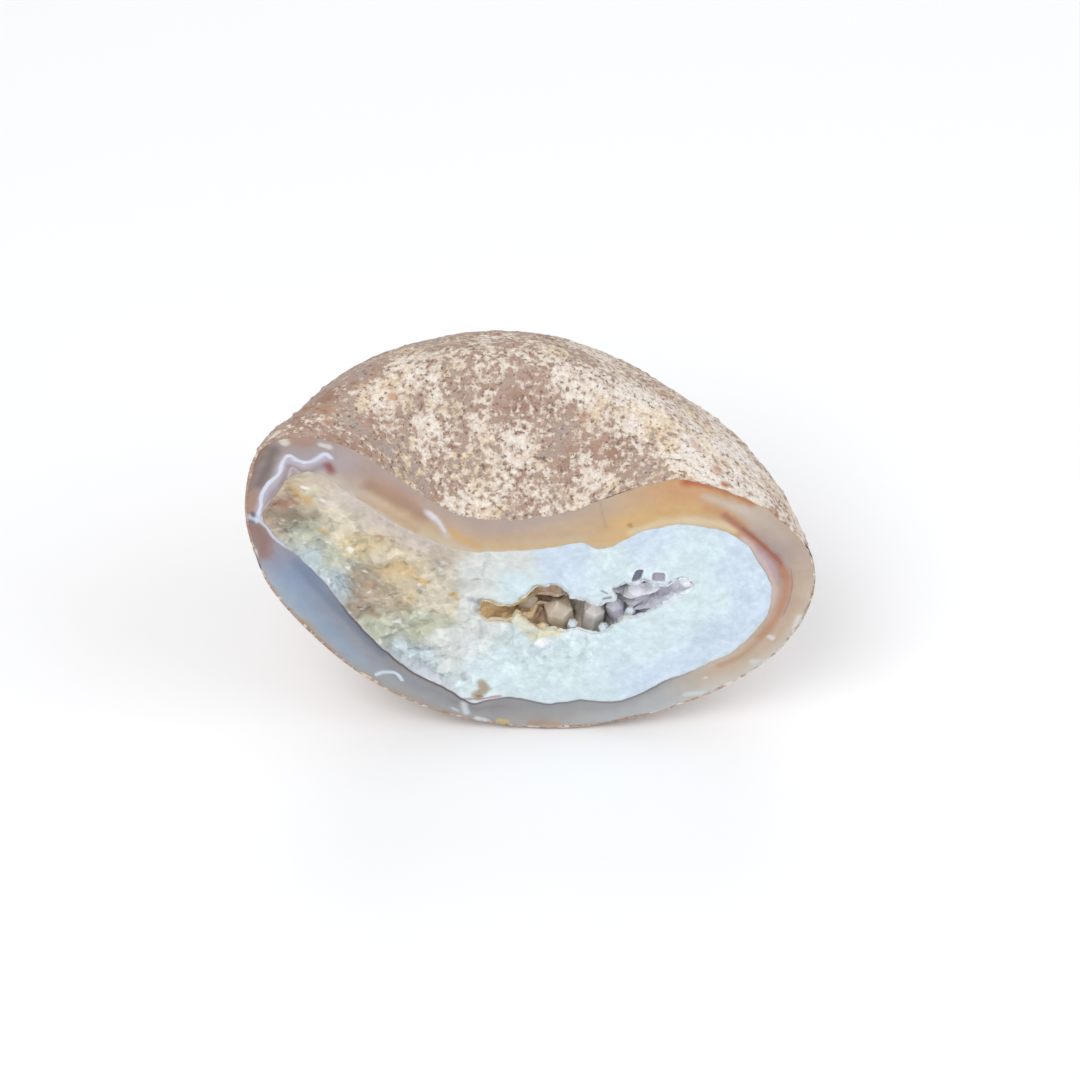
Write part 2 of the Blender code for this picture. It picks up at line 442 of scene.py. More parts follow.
def blotch(points: np.ndarray, places: tuple, fuzz: np.ndarray) -> np.ndarray:
    """Return how strongly each point lies in a set of soft round patches.

    Args:
        points: Places in millimetres, one row each.
        places: Patches as (centre, radius, strength), the centre with as many numbers as a point.
        fuzz: Noise that frays the patches' edges, one value for each point.

    Returns:
        A share from 0 to 1 for each point.
    """
    total = np.zeros(len(points))
    for centre, radius, strength in places:
        away = np.linalg.norm(points - np.array(centre), axis=1) / radius
        total = np.maximum(total, strength * (1.0 - ease(away + 0.45 * fuzz, 0.35, 1.15)))
    return np.clip(total, 0.0, 1.0)


# --------------------------------------------------------------------------------------------------
# Marks on the sawn face


@dataclass(frozen=True)
class Mark:
    """A line or spot of one colour on the sawn face, along a path of (X, Z), with a soft edge."""

    colour: str
    width: float
    path: tuple[tuple[float, float], ...]
    strength: float = 1.0
    fade: float = 0.6

    def cover(self, flat: np.ndarray, fuzz: np.ndarray) -> np.ndarray:
        """Return how strongly the mark covers each place.

        Args:
            flat: Places on the face, X and Z in millimetres.
            fuzz: Noise that frays the mark's edge, one value for each place.

        Returns:
            A share from 0 to 1 for each place.
        """
        corners = np.array(self.path, dtype=float)
        if len(corners) > 2:
            corners = smooth_path(corners)
        distance = np.linalg.norm(flat - corners[0], axis=1)
        for first, last in zip(corners[:-1], corners[1:]):
            run = last - first
            part = np.clip((flat - first) @ run / max(run @ run, 1e-9), 0.0, 1.0)
            distance = np.minimum(distance, np.linalg.norm(flat - first - part[:, None] * run, axis=1))
        away = 2.0 * distance / (self.width * np.clip(1.0 + 0.4 * fuzz, 0.4, 1.8))
        return self.strength * (1.0 - ease(away, 1.0 - self.fade, 1.0))


def between(
    before: np.ndarray, here: np.ndarray, after: np.ndarray, beyond: np.ndarray, share: float
) -> np.ndarray:
    """Return the place a share of the way from here to after, on a smooth curve through all four.

    Args:
        before: The place before the stretch.
        here: Where the stretch starts.
        after: Where it ends.
        beyond: The place past it.
        share: How far along the stretch, from 0 to 1.

    Returns:
        The place, in the units of the four given.
    """
    slope = (after - before) * share
    bend = (2.0 * before - 5.0 * here + 4.0 * after - beyond) * share**2
    twist = (beyond - before + 3.0 * (here - after)) * share**3
    return 0.5 * (2.0 * here + slope + bend + twist)


def smooth_path(corners: np.ndarray, steps: int = 5) -> np.ndarray:
    """Return a smooth open curve through corners.

    Args:
        corners: Places in order, one row each.
        steps: How many points each stretch gets.

    Returns:
        The curve's points.
    """
    full = np.vstack((2.0 * corners[0] - corners[1], corners, 2.0 * corners[-1] - corners[-2]))
    curve = [
        between(*four, share)
        for four in zip(full[:-3], full[1:-2], full[2:-1], full[3:])
        for share in np.arange(steps) / steps
    ]
    return np.vstack((curve, corners[-1:]))


def paint(colour: np.ndarray, flat: np.ndarray, marks: tuple[Mark, ...], fuzz: np.ndarray) -> np.ndarray:
    """Lay marks over a colour.

    Args:
        colour: Linear RGB, one row for each place.
        flat: Places on the face, X and Z in millimetres.
        marks: The marks, laid in order.
        fuzz: Noise that frays their edges, one value for each place.

    Returns:
        The colour with the marks on it.
    """
    for mark in marks:
        colour = overlay(colour, mark.cover(flat, fuzz), rgb(mark.colour))
    return colour


# --------------------------------------------------------------------------------------------------
# Closed curves on the sawn face


@dataclass
class Outline:
    """A closed curve on the sawn face, as X and Z in millimetres, evenly spaced along its length."""

    points: np.ndarray

    @classmethod
    def through(cls, corners: np.ndarray, start: np.ndarray, count: int) -> "Outline":
        """Draw a smooth closed curve through corners.

        Args:
            corners: The corners in order, one row each.
            start: The place that the curve's start is nearest to.
            count: How many points the curve gets.

        Returns:
            The curve, anticlockwise.
        """
        x, z = corners[:, 0], corners[:, 1]
        if np.sum(x * np.roll(z, -1) - z * np.roll(x, -1)) < 0.0:
            corners = corners[::-1]
        first = np.argmin(np.linalg.norm(corners - start, axis=1))
        here = np.roll(corners, -first, axis=0)
        before, after, beyond = (np.roll(here, shift, axis=0) for shift in (1, -1, -2))
        steps = [between(before, here, after, beyond, share) for share in np.arange(12) / 12]
        return cls(np.stack(steps, axis=1).reshape(-1, 2)).evenly(count)

    def evenly(self, count: int) -> "Outline":
        """Return the same curve with count points an equal length apart.

        Args:
            count: How many points to return.

        Returns:
            The curve through the new points.
        """
        closed = np.vstack((self.points, self.points[:1]))
        travelled = np.append(0.0, np.cumsum(np.linalg.norm(np.diff(closed, axis=0), axis=1)))
        wanted = np.arange(count) / count * travelled[-1]
        return Outline(np.stack([np.interp(wanted, travelled, closed[:, axis]) for axis in (0, 1)], axis=1))

    def nearest(self, places: np.ndarray) -> tuple[np.ndarray, np.ndarray]:
        """Find the nearest point of the curve to each place.

        Args:
            places: X and Z in millimetres, one row each.

        Returns:
            Each place's distance from the curve, and how far round the curve it is, from 0 to 1.
        """
        count = len(self.points)
        runs = np.roll(self.points, -1, axis=0) - self.points
        distance = np.full(len(places), np.inf)
        around = np.zeros(len(places))
        for start in range(0, len(places), CHUNK):
            some = slice(start, start + CHUNK)
            part = places[some]
            gap = ((part[:, None, :] - self.points[None]) ** 2).sum(axis=2)
            closest = np.argmin(gap, axis=1)
            for shift in (-1, 0):
                first = np.mod(closest + shift, count)
                offset = part - self.points[first]
                run = runs[first]
                share = np.clip((offset * run).sum(axis=1) / (run * run).sum(axis=1), 0.0, 1.0)
                away = np.linalg.norm(offset - share[:, None] * run, axis=1)
                closer = away < distance[some]
                around[some] = np.where(closer, (first + share) / count, around[some])
                distance[some] = np.where(closer, away, distance[some])
        return distance, around

    def inward(self) -> np.ndarray:
        """Return the unit direction into the curve at each of its points."""
        ahead = np.roll(self.points, -1, axis=0) - np.roll(self.points, 1, axis=0)
        normal = np.stack((-ahead[:, 1], ahead[:, 0]), axis=1)
        return normal / np.linalg.norm(normal, axis=1)[:, None]


def relaxed_rows(first: np.ndarray, last: np.ndarray, rows: int) -> np.ndarray:
    """Spread rows between two closed curves so that no two lines of the mesh cross.

    The places are relaxed as an elliptic grid, from a coarse grid to the full one.

    Args:
        first: The curve that the rows start from, X and Z.
        last: The curve that they end on, with as many points.
        rows: How many rows lie between the two, one less than a multiple of eight.

    Returns:
        Places by row and column.
    """
    grid = np.linspace(first[::8], last[::8], (rows + 1) // 8 + 1)
    for stride, rounds in ((8, 1500), (4, 400), (2, 150), (1, 60)):
        if stride < 8:
            tall = np.empty((2 * len(grid) - 1, grid.shape[1], 2))
            tall[::2] = grid
            tall[1::2] = 0.5 * (grid[1:] + grid[:-1])
            wide = np.empty((len(tall), 2 * grid.shape[1], 2))
            wide[:, ::2] = tall
            wide[:, 1::2] = 0.5 * (tall + np.roll(tall, -1, axis=1))
            grid = wide
        grid[0], grid[-1] = first[::stride], last[::stride]
        for _ in range(rounds):
            east, west = np.roll(grid, -1, axis=1), np.roll(grid, 1, axis=1)
            across = 0.5 * (east - west)[1:-1]
            down = 0.5 * (grid[2:] - grid[:-2])
            alpha = (down**2).sum(axis=2)[..., None]
            gamma = (across**2).sum(axis=2)[..., None]
            beta = (across * down).sum(axis=2)[..., None]
            corner = east[2:] - west[2:] - east[:-2] + west[:-2]
            moved = alpha * (east + west)[1:-1] + gamma * (grid[2:] + grid[:-2]) - 0.5 * beta * corner
            grid[1:-1] = moved / (2.0 * (alpha + gamma) + 1e-12)
    steps = np.linalg.norm(np.diff(grid, axis=0), axis=2)
    run = np.concatenate((np.zeros((1, grid.shape[1])), np.cumsum(steps, axis=0)))
    shares = np.linspace(0.0, 1.0, len(grid))[1:-1]
    even = np.empty((len(shares), *grid.shape[1:]))
    for column in range(grid.shape[1]):
        for axis in range(2):
            even[:, column, axis] = np.interp(
                shares * run[-1, column], run[:, column], grid[:, column, axis]
            )
    return even


def shell_loops(name: str) -> list[np.ndarray]:
    """Read the closed edges that a CAD node has on the plane of the sawn face.

    Args:
        name: The CAD node.

    Returns:
        The loops as X and Z in millimetres, the longest first.
    """
    mesh = bmesh.new()
    mesh.from_mesh(frame["nodes"][name].data)
    bmesh.ops.remove_doubles(mesh, verts=mesh.verts, dist=0.02 * MM)
    on_face = {
        face for face in mesh.faces if all(abs(vertex.co.y / MM - FACE_Y) < 0.01 for vertex in face.verts)
    }
    ring = {edge for edge in mesh.edges if sum(face in on_face for face in edge.link_faces) == 1}
    loops = []
    while ring:
        edge = ring.pop()
        start, here = edge.verts
        loop = [start.co.copy(), here.co.copy()]
        while True:
            onward = [other for other in here.link_edges if other in ring]
            if not onward:
                break
            ring.discard(onward[0])
            here = onward[0].other_vert(here)
            loop.append(here.co.copy())
        loops.append(np.array([(place.x / MM, place.z / MM) for place in loop[:-1]]))
    mesh.free()
    return sorted(loops, key=lambda loop: -np.linalg.norm(np.roll(loop, 1, axis=0) - loop, axis=1).sum())


# --------------------------------------------------------------------------------------------------
# The nodule's form, read from the CAD shell


@dataclass
class NoduleForm:
    """The nodule's outer skin and its hollow, as smooth sections read from the CAD shell.

    The heart is the point (X, Z) that the face's columns fan out from, and the tail is where they meet at
    the back. The rim is the rind's width on the face, at each column.
    """

    columns: int = 640
    heart: tuple[float, float] = (-4.0, 32.0)
    tail: tuple[float, float] = (1.0, 39.0)
    reach: float = 140.0
    outer: Outline = field(init=False)
    inner: Outline = field(init=False)
    rim: np.ndarray = field(init=False)
    tree: BVHTree = field(init=False)

    def __post_init__(self) -> None:
        """Read the face's outlines and the shell's surface."""
        outer, inner = shell_loops("agate_shell")[:2]
        left = np.array([CAD_LOW.x / MM, 0.5 * (CAD_LOW.z + CAD_HIGH.z) / MM])
        self.outer = Outline.through(outer, left, self.columns)
        self.inner = Outline.through(inner, left, self.columns)
        ragged = layered_noise(self.outer.points, 3.0, 83, 4)
        self.rim = np.clip(0.58 + 0.52 * ragged, 0.26, 1.3)
        shell = frame["nodes"]["agate_shell"].data
        corners = [vertex.co / MM for vertex in shell.vertices]
        self.tree = BVHTree.FromPolygons(corners, [polygon.vertices[:] for polygon in shell.polygons])

    def sections(self, shares: np.ndarray, start: Outline, inset: np.ndarray, hollow: bool) -> np.ndarray:
        """Return rows of places on the skin or in the hollow, from the sawn face to the back.

        Args:
            shares: How far each row lies from the sawn face, from 0 to 1, both included.
            start: The outline that the first row follows.
            inset: How far the rows lie inside the skin or the hollow, by row and column.
            hollow: Read the hollow, and not the outer skin.

        Returns:
            Places in millimetres, by row and column.
        """
        heart, tail = np.array(self.heart), np.array(self.tail)
        spoke = start.points - heart
        angle = np.arctan2(spoke[:, 1], spoke[:, 0])
        ray = np.stack((np.cos(angle), np.sin(angle)), axis=1)
        full = DEPTH - (self.hollow_wall() if hollow else 0.0)
        depth = full * np.sin(0.5 * math.pi * shares)
        shrink = np.cos(0.5 * math.pi * shares) ** 0.72
        centres = tail + shrink[:, None] * (heart - tail)
        radius = np.zeros((len(shares), len(angle)))
        radius[0] = np.linalg.norm(spoke, axis=1)
        for row in range(1, len(shares) - 1):
            y = FACE_Y + depth[row]
            middle = centres[row]
            for column, (dx, dz) in enumerate(ray):
                if hollow:
                    origin = Vector((middle[0], y, middle[1]))
                    hit = self.tree.ray_cast(origin, Vector((dx, 0.0, dz)))
                    radius[row, column] = hit[3] if hit[3] is not None else radius[row - 1, column]
                else:
                    origin = Vector((middle[0] + self.reach * dx, y, middle[1] + self.reach * dz))
                    hit = self.tree.ray_cast(origin, Vector((-dx, 0.0, -dz)))
                    radius[row, column] = self.reach - hit[3] if hit[3] is not None else 0.0
        radius = self.smoothed(radius)
        radius = np.maximum(radius - inset, 0.0)
        wide = centres[:, :1] + radius * ray[None, :, 0]
        high = centres[:, 1:] + radius * ray[None, :, 1]
        deep = FACE_Y + depth[:, None] * (1.0 - inset / full) * np.ones(len(angle))
        return np.stack((wide, deep, high), axis=2)

    def lined_skin(self, rows: int, inset: float, gap: float = 0.0) -> np.ndarray:
        """Return rows inside the outer skin: by the rim at the sawn face, and by inset behind it.

        Args:
            rows: How many rows.
            inset: How far behind the skin they lie, away from the face.
            gap: How much farther in they lie everywhere.

        Returns:
            Places in millimetres, by row and column.
        """
        shares = np.linspace(0.0, 1.0, rows)
        depth = self.rim + (inset - self.rim) * ease(shares, 0.0, 0.1)[:, None]
        return self.sections(shares, self.outer, depth + gap, False)

    def hollow_wall(self) -> float:
        """Return the shell's thickness at the back, in millimetres."""
        return BACK_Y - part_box("quartz_lining")[1].y / MM - 0.3

    def smoothed(self, radius: np.ndarray) -> np.ndarray:
        """Round off the CAD facets, with the first and last rows held.

        Args:
            radius: Radii by row and column.

        Returns:
            The smoothed radii.
        """
        held_first, held_last = radius[0].copy(), radius[-1].copy()
        for _ in range(3):
            total = np.zeros_like(radius)
            for step, weight in ((-4, 1.0), (-2, 2.0), (0, 3.0), (2, 2.0), (4, 1.0)):
                total += weight * np.roll(radius, step, axis=1)
            radius = total / 9.0
            padded = np.vstack((2.0 * radius[0] - radius[4:0:-1], radius, -radius[-2:-6:-1]))
            rows = len(radius)
            weights = (1.0, 2.0, 3.0, 4.0, 5.0, 4.0, 3.0, 2.0, 1.0)
            radius = sum(w * padded[start : start + rows] for start, w in enumerate(weights)) / 25.0
            radius[0] = held_first
            radius[-1] = held_last
        return radius


# --------------------------------------------------------------------------------------------------
# Meshes


def clear_selection() -> None:
    """Deselect every object, so that an operator acts only on what it makes."""
    bpy.ops.object.select_all(action="DESELECT")


def pick(piece: bpy.types.Object) -> None:
    """Select one piece and make it the active one.

    Args:
        piece: The piece to pick.
    """
    clear_selection()
    bpy.context.view_layer.objects.active = piece
    piece.select_set(True)


def rolled_grid(name: str, rows: np.ndarray) -> tuple[bpy.types.Object, np.ndarray]:
    """Roll a grid round into a closed shell that passes through rows of places.

    Args:
        name: The piece's name.
        rows: Places in millimetres by row and column; the first and last rows are single points.

    Returns:
        The piece, with its origin at the row frame's, and each vertex's row.
    """
    last = len(rows) - 1
    columns = rows.shape[1]
    clear_selection()
    bpy.ops.mesh.primitive_grid_add(x_subdivisions=columns, y_subdivisions=last, size=1.0)
    piece = bpy.context.active_object
    piece.name = name
    piece.data.name = name
    sheet = mesh_places(piece) * MM + 0.5
    row = np.rint((1.0 - sheet[:, 1]) * last).astype(int)
    column = np.rint(sheet[:, 0] * columns).astype(int) % columns
    set_places(piece, rows[row, column])
    set_values(piece, "row", row)
    bpy.ops.object.mode_set(mode="EDIT")
    bpy.ops.mesh.select_all(action="SELECT")
    bpy.ops.mesh.remove_doubles(threshold=0.0001 * MM)
    bpy.ops.object.mode_set(mode="OBJECT")
    kept = np.zeros(len(piece.data.vertices))
    piece.data.attributes["row"].data.foreach_get("value", kept)
    piece.data.attributes.remove(piece.data.attributes["row"])
    return piece, np.rint(kept).astype(int)


def mesh_places(piece: bpy.types.Object) -> np.ndarray:
    """Return a piece's vertices in millimetres, one row each.

    Args:
        piece: The piece.

    Returns:
        One row of X, Y and Z for each vertex.
    """
    flat = np.zeros(3 * len(piece.data.vertices))
    piece.data.vertices.foreach_get("co", flat)
    return flat.reshape(-1, 3) / MM


def set_places(piece: bpy.types.Object, places: np.ndarray) -> None:
    """Move a piece's vertices to places in millimetres."""
    piece.data.vertices.foreach_set("co", (places * MM).ravel())
    piece.data.update()


def mesh_normals(piece: bpy.types.Object) -> np.ndarray:
    """Return a piece's vertex normals, one row each.

    Args:
        piece: The piece.

    Returns:
        One row of unit length for each vertex.
    """
    flat = np.zeros(3 * len(piece.data.vertices))
    piece.data.vertex_normals.foreach_get("vector", flat)
    return flat.reshape(-1, 3)


def set_values(piece: bpy.types.Object, name: str, values: np.ndarray) -> None:
    """Give a piece a named value, or colour, at each vertex.

    Args:
        piece: The piece.
        name: The attribute's name, which the piece's material reads.
        values: One number for each vertex, or one row of three channels.
    """
    if values.ndim == 1:
        made = piece.data.attributes.new(name, "FLOAT", "POINT")
        made.data.foreach_set("value", values.astype(np.float32))
        return
    made = piece.data.attributes.new(name, "FLOAT_COLOR", "POINT")
    full = np.ones((len(values), 4), dtype=np.float32)
    full[:, :3] = values
    made.data.foreach_set("color", full.ravel())


def dress(piece: bpy.types.Object, material: bpy.types.Material, grade: Grade) -> None:
    """Shade a finished piece, give it its material and fix it to the stone.

    Args:
        piece: The piece.
        material: The material for all of it.
        grade: How its edges shade.
    """
    piece.data.materials.clear()
    piece.data.materials.append(material)
    pick(piece)
    bpy.ops.object.shade_smooth_by_angle(angle=grade.value)
    piece.select_set(False)
    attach(piece, "root")
    LOG.info("%s: %d vertices", piece.name, len(piece.data.vertices))


# --------------------------------------------------------------------------------------------------
# Finishes


@dataclass(frozen=True)
class WeatheredRind:
    """Weathered agate rind: pinkish-brown skin under a granular, pitted cream crust."""

    name: str = "weathered_agate_rind"
    skin: tuple[str, str, str] = ("#9D7B68", "#B09383", "#AA9C97")
    crust: tuple[str, str, str] = ("#C6B19F", "#D8C9BA", "#EAE2D9")
    warmth: tuple[str, str] = ("#FFFFFF", "#FBF2E0")
    pit: str = "#7E6050"
    patch_mm: float = 9.0
    crumb_mm: float = 1.25
    pit_mm: float = 1.0
    grit_mm: float = 0.45
    relief_mm: float = 0.22
    ior: float = 1.53

    def build(self) -> bpy.types.Material:
        """Build the material: the mesh says how much crust there is, and noise frays it into crumbs."""
        recipe = Recipe(self.name)
        add = recipe.add
        crust = add("Attribute", {"attribute_name": "crust"}, out="Fac")
        stain = add("Attribute", {"attribute_name": "stain"}, out="Color")
        stained = add("Attribute", {"attribute_name": "stained"}, out="Fac")
        patch = add("TexNoise", swells(self.patch_mm, 4.0, 0.6), {"Vector": recipe.place})
        crumb = add("TexNoise", swells(self.crumb_mm, 5.0, 0.62), {"Vector": recipe.place})
        pit = add("TexNoise", swells(self.pit_mm, 3.0, 0.6), {"Vector": recipe.place})
        grit = add("TexNoise", swells(self.grit_mm, 2.0, 0.6), {"Vector": recipe.place})
        level = add("Math", {"operation": "MULTIPLY_ADD", 1: 0.24}, {0: crust, 2: crumb})
        cover = add(
            "MapRange",
            {"interpolation_type": "SMOOTHSTEP", "From Min": 0.53, "From Max": 0.69},
            {"Value": level},
        )
        skin = add("ValToRGB", {"stops": tuple(zip((0.36, 0.5, 0.64), self.skin))}, {"Fac": patch})
        cream = add("ValToRGB", {"stops": tuple(zip((0.58, 0.69, 0.85), self.crust))}, {"Fac": level})
        warmth = add("ValToRGB", {"stops": tuple(zip((0.5, 0.62), self.warmth))}, {"Fac": patch})
        cream = add("Mix", MULTIPLIED, {6: cream, 7: warmth}, out=2)
        base = add("Mix", {"data_type": "RGBA"}, {0: cover, 6: skin, 7: cream}, out=2)
        marked = add("Mix", {"data_type": "RGBA"}, {0: stained, 6: base, 7: stain}, out=2)
        hollow = add(
            "MapRange", {"From Min": 0.33, "From Max": 0.43, "To Min": 0.85, "To Max": 0.0}, {"Value": pit}
        )
        pitted = add("Mix", {"data_type": "RGBA", 7: linear(self.pit)}, {0: hollow, 6: marked}, out=2)
        speck = add(
            "MapRange", {"From Min": 0.3, "From Max": 0.7, "To Min": 0.84, "To Max": 1.13}, {"Value": grit}
        )
        colour = add("Mix", MULTIPLIED, {6: pitted, 7: speck}, out=2)
        rough = add("MapRange", {"To Min": 0.55, "To Max": 0.92}, {"Value": cover})
        raised = add("Math", {"operation": "MULTIPLY_ADD", 1: 0.5}, {0: grit, 2: cover})
        relief = add("Math", {"operation": "MULTIPLY_ADD", 1: -0.8}, {0: hollow, 2: raised})
        bump = add("Bump", {"Strength": 0.6, "Distance": self.relief_mm * MM}, {"Height": relief})
        return recipe.finish(
            {"IOR": self.ior, "Specular IOR Level": 0.3},
            {"Base Color": colour, "Roughness": rough, "Normal": bump},
        )


@dataclass(frozen=True)
class PolishedChalcedony:
    """Sawn and polished chalcedony: waxy, translucent and cloudy, with thin bands along the wall.

    The real bands are about 0.1 mm wide. They are drawn at 0.6 mm, the finest that shows.
    """

    name: str = "polished_chalcedony"
    band_mm: float = 0.6
    cloud_mm: float = 3.5
    wander_mm: float = 2.2
    glow_mm: float = 1.0
    ior: float = 1.54

    def build(self) -> bpy.types.Material:
        """Build the material, with its tint read from the mesh and banding from the wall's depth."""
        recipe = Recipe(self.name)
        add = recipe.add
        tint = add("Attribute", {"attribute_name": "tint"}, out="Color")
        depth = add("Attribute", {"attribute_name": "wall_depth"}, out="Fac")
        cloud = add("TexNoise", swells(self.cloud_mm, 5.0, 0.6), {"Vector": recipe.place})
        wander = add("Math", {"operation": "MULTIPLY_ADD", 1: self.wander_mm}, {0: cloud, 2: depth})
        phase = add("Math", {"operation": "MULTIPLY", 1: FULL_TURN / self.band_mm}, {0: wander})
        wave = add("Math", {"operation": "SINE"}, {0: phase})
        band = add("MapRange", {"From Min": -1.0, "To Min": 0.985, "To Max": 1.01}, {"Value": wave})
        cloudy = add(
            "MapRange", {"From Min": 0.3, "From Max": 0.7, "To Min": 0.94, "To Max": 1.05}, {"Value": cloud}
        )
        both = add("Math", {"operation": "MULTIPLY"}, {0: band, 1: cloudy})
        colour = add("Mix", MULTIPLIED, {6: tint, 7: both}, out=2)
        return recipe.finish(
            {
                "Roughness": 0.24,
                "IOR": self.ior,
                "Subsurface Weight": 0.25,
                "Subsurface Radius": (1.0, 0.8, 0.7),
                "Subsurface Scale": self.glow_mm * MM,
                "Coat Weight": 0.15,
                "Coat Roughness": 0.1,
            },
            {"Base Color": colour},
        )


@dataclass(frozen=True)
class MassiveQuartz:
    """Massive quartz, sawn through: locked grains, icy where clear and honey-stained where iron seeped."""

    name: str = "massive_quartz"
    chip_mm: float = 0.9
    grain_mm: float = 2.6
    frost_mm: float = 0.8
    stir_mm: float = 1.6
    stray_mm: float = 0.6
    glow_mm: float = 1.2
    ior: float = QUARTZ_IOR

    def build(self) -> bpy.types.Material:
        """Build the material: tint from the mesh, and small tilted grains that glint in the light."""
        recipe = Recipe(self.name)
        add = recipe.add
        tint = add("Attribute", {"attribute_name": "tint"}, out="Color")
        rough_zone = add("Attribute", {"attribute_name": "rough"}, out="Fac")
        stir = add("TexNoise", swells(self.stir_mm, 2.0, 0.5), {"Vector": recipe.place}, out="Color")
        stirred = add(
            "VectorMath",
            {"operation": "MULTIPLY_ADD", 1: (self.stray_mm * MM,) * 3},
            {0: stir, 2: recipe.place},
        )
        chips, grains = (
            add(
                "TexVoronoi",
                {"Scale": 1.0 / (size * MM), "Randomness": 1.0},
                {"Vector": stirred},
                out="Color",
            )
            for size in (self.chip_mm, self.grain_mm)
        )
        frost = add("TexNoise", swells(self.frost_mm, 5.0, 0.65), {"Vector": recipe.place})
        veil = add(
            "MapRange",
            {"From Min": 0.3, "From Max": 0.7, "To Min": 0.955, "To Max": 1.035},
            {"Value": frost},
        )
        grey = add("SeparateColor", {}, {"Color": grains}, out="Red")
        spread = add("Math", {"operation": "MULTIPLY_ADD", 1: 0.27, 2: 0.06}, {0: rough_zone})
        lift = add("Math", {"operation": "SUBTRACT", 1: 0.5}, {0: grey})
        patchy = add("Math", {"operation": "MULTIPLY_ADD"}, {0: lift, 1: spread, 2: veil})
        colour = add("Mix", MULTIPLIED, {6: tint, 7: patchy}, out=2)
        rough = add("MapRange", {"To Min": 0.32, "To Max": 0.16}, {"Value": rough_zone})
        tilt = add("VectorMath", {"operation": "SUBTRACT", 1: (0.5, 0.5, 0.5)}, {0: chips})
        lean = add("MapRange", {"To Min": 0.3, "To Max": 0.8}, {"Value": rough_zone})
        leaning = add("VectorMath", {"operation": "SCALE"}, {0: tilt, "Scale": lean})
        normal = add("NewGeometry", out="Normal")
        turned = add("VectorMath", {"operation": "ADD"}, {0: normal, 1: leaning})
        facing = add("VectorMath", {"operation": "NORMALIZE"}, {0: turned})
        bump = add("Bump", {"Strength": 0.35, "Distance": 0.15 * MM}, {"Height": frost, "Normal": facing})
        return recipe.finish(
            {
                "IOR": self.ior,
                "Subsurface Weight": 0.3,
                "Subsurface Radius": (0.9, 1.0, 1.1),
                "Subsurface Scale": self.glow_mm * MM,
            },
            {"Base Color": colour, "Roughness": rough, "Normal": bump},
        )


@dataclass(frozen=True)
class QuartzCrystal:
    """A natural quartz point: glassy faces over a cloudy body."""

    name: str
    colour: str
    deep: str
    cloud_mm: float = 2.4
    growth_mm: float = 0.5
    glow_mm: float = 1.0
    ior: float = QUARTZ_IOR

    def build(self) -> bpy.types.Material:
        """Build the material, with cloudy veils in the body and growth lines across the faces."""
        recipe = Recipe(self.name)
        cloud = recipe.add("TexNoise", swells(self.cloud_mm, 5.0, 0.6), {"Vector": recipe.place})
        body = recipe.add("ValToRGB", {"stops": ((0.38, self.deep), (0.6, self.colour))}, {"Fac": cloud})
        lines = recipe.add("TexNoise", swells(self.growth_mm, 3.0, 0.6), {"Vector": recipe.place})
        bump = recipe.add("Bump", {"Strength": 0.25, "Distance": 0.1 * MM}, {"Height": lines})
        return recipe.finish(
            {
                "Roughness": 0.18,
                "IOR": self.ior,
                "Subsurface Weight": 0.12,
                "Subsurface Scale": self.glow_mm * MM,
            },
            {"Base Color": body, "Normal": bump},
        )


# --------------------------------------------------------------------------------------------------
# The stone's pieces


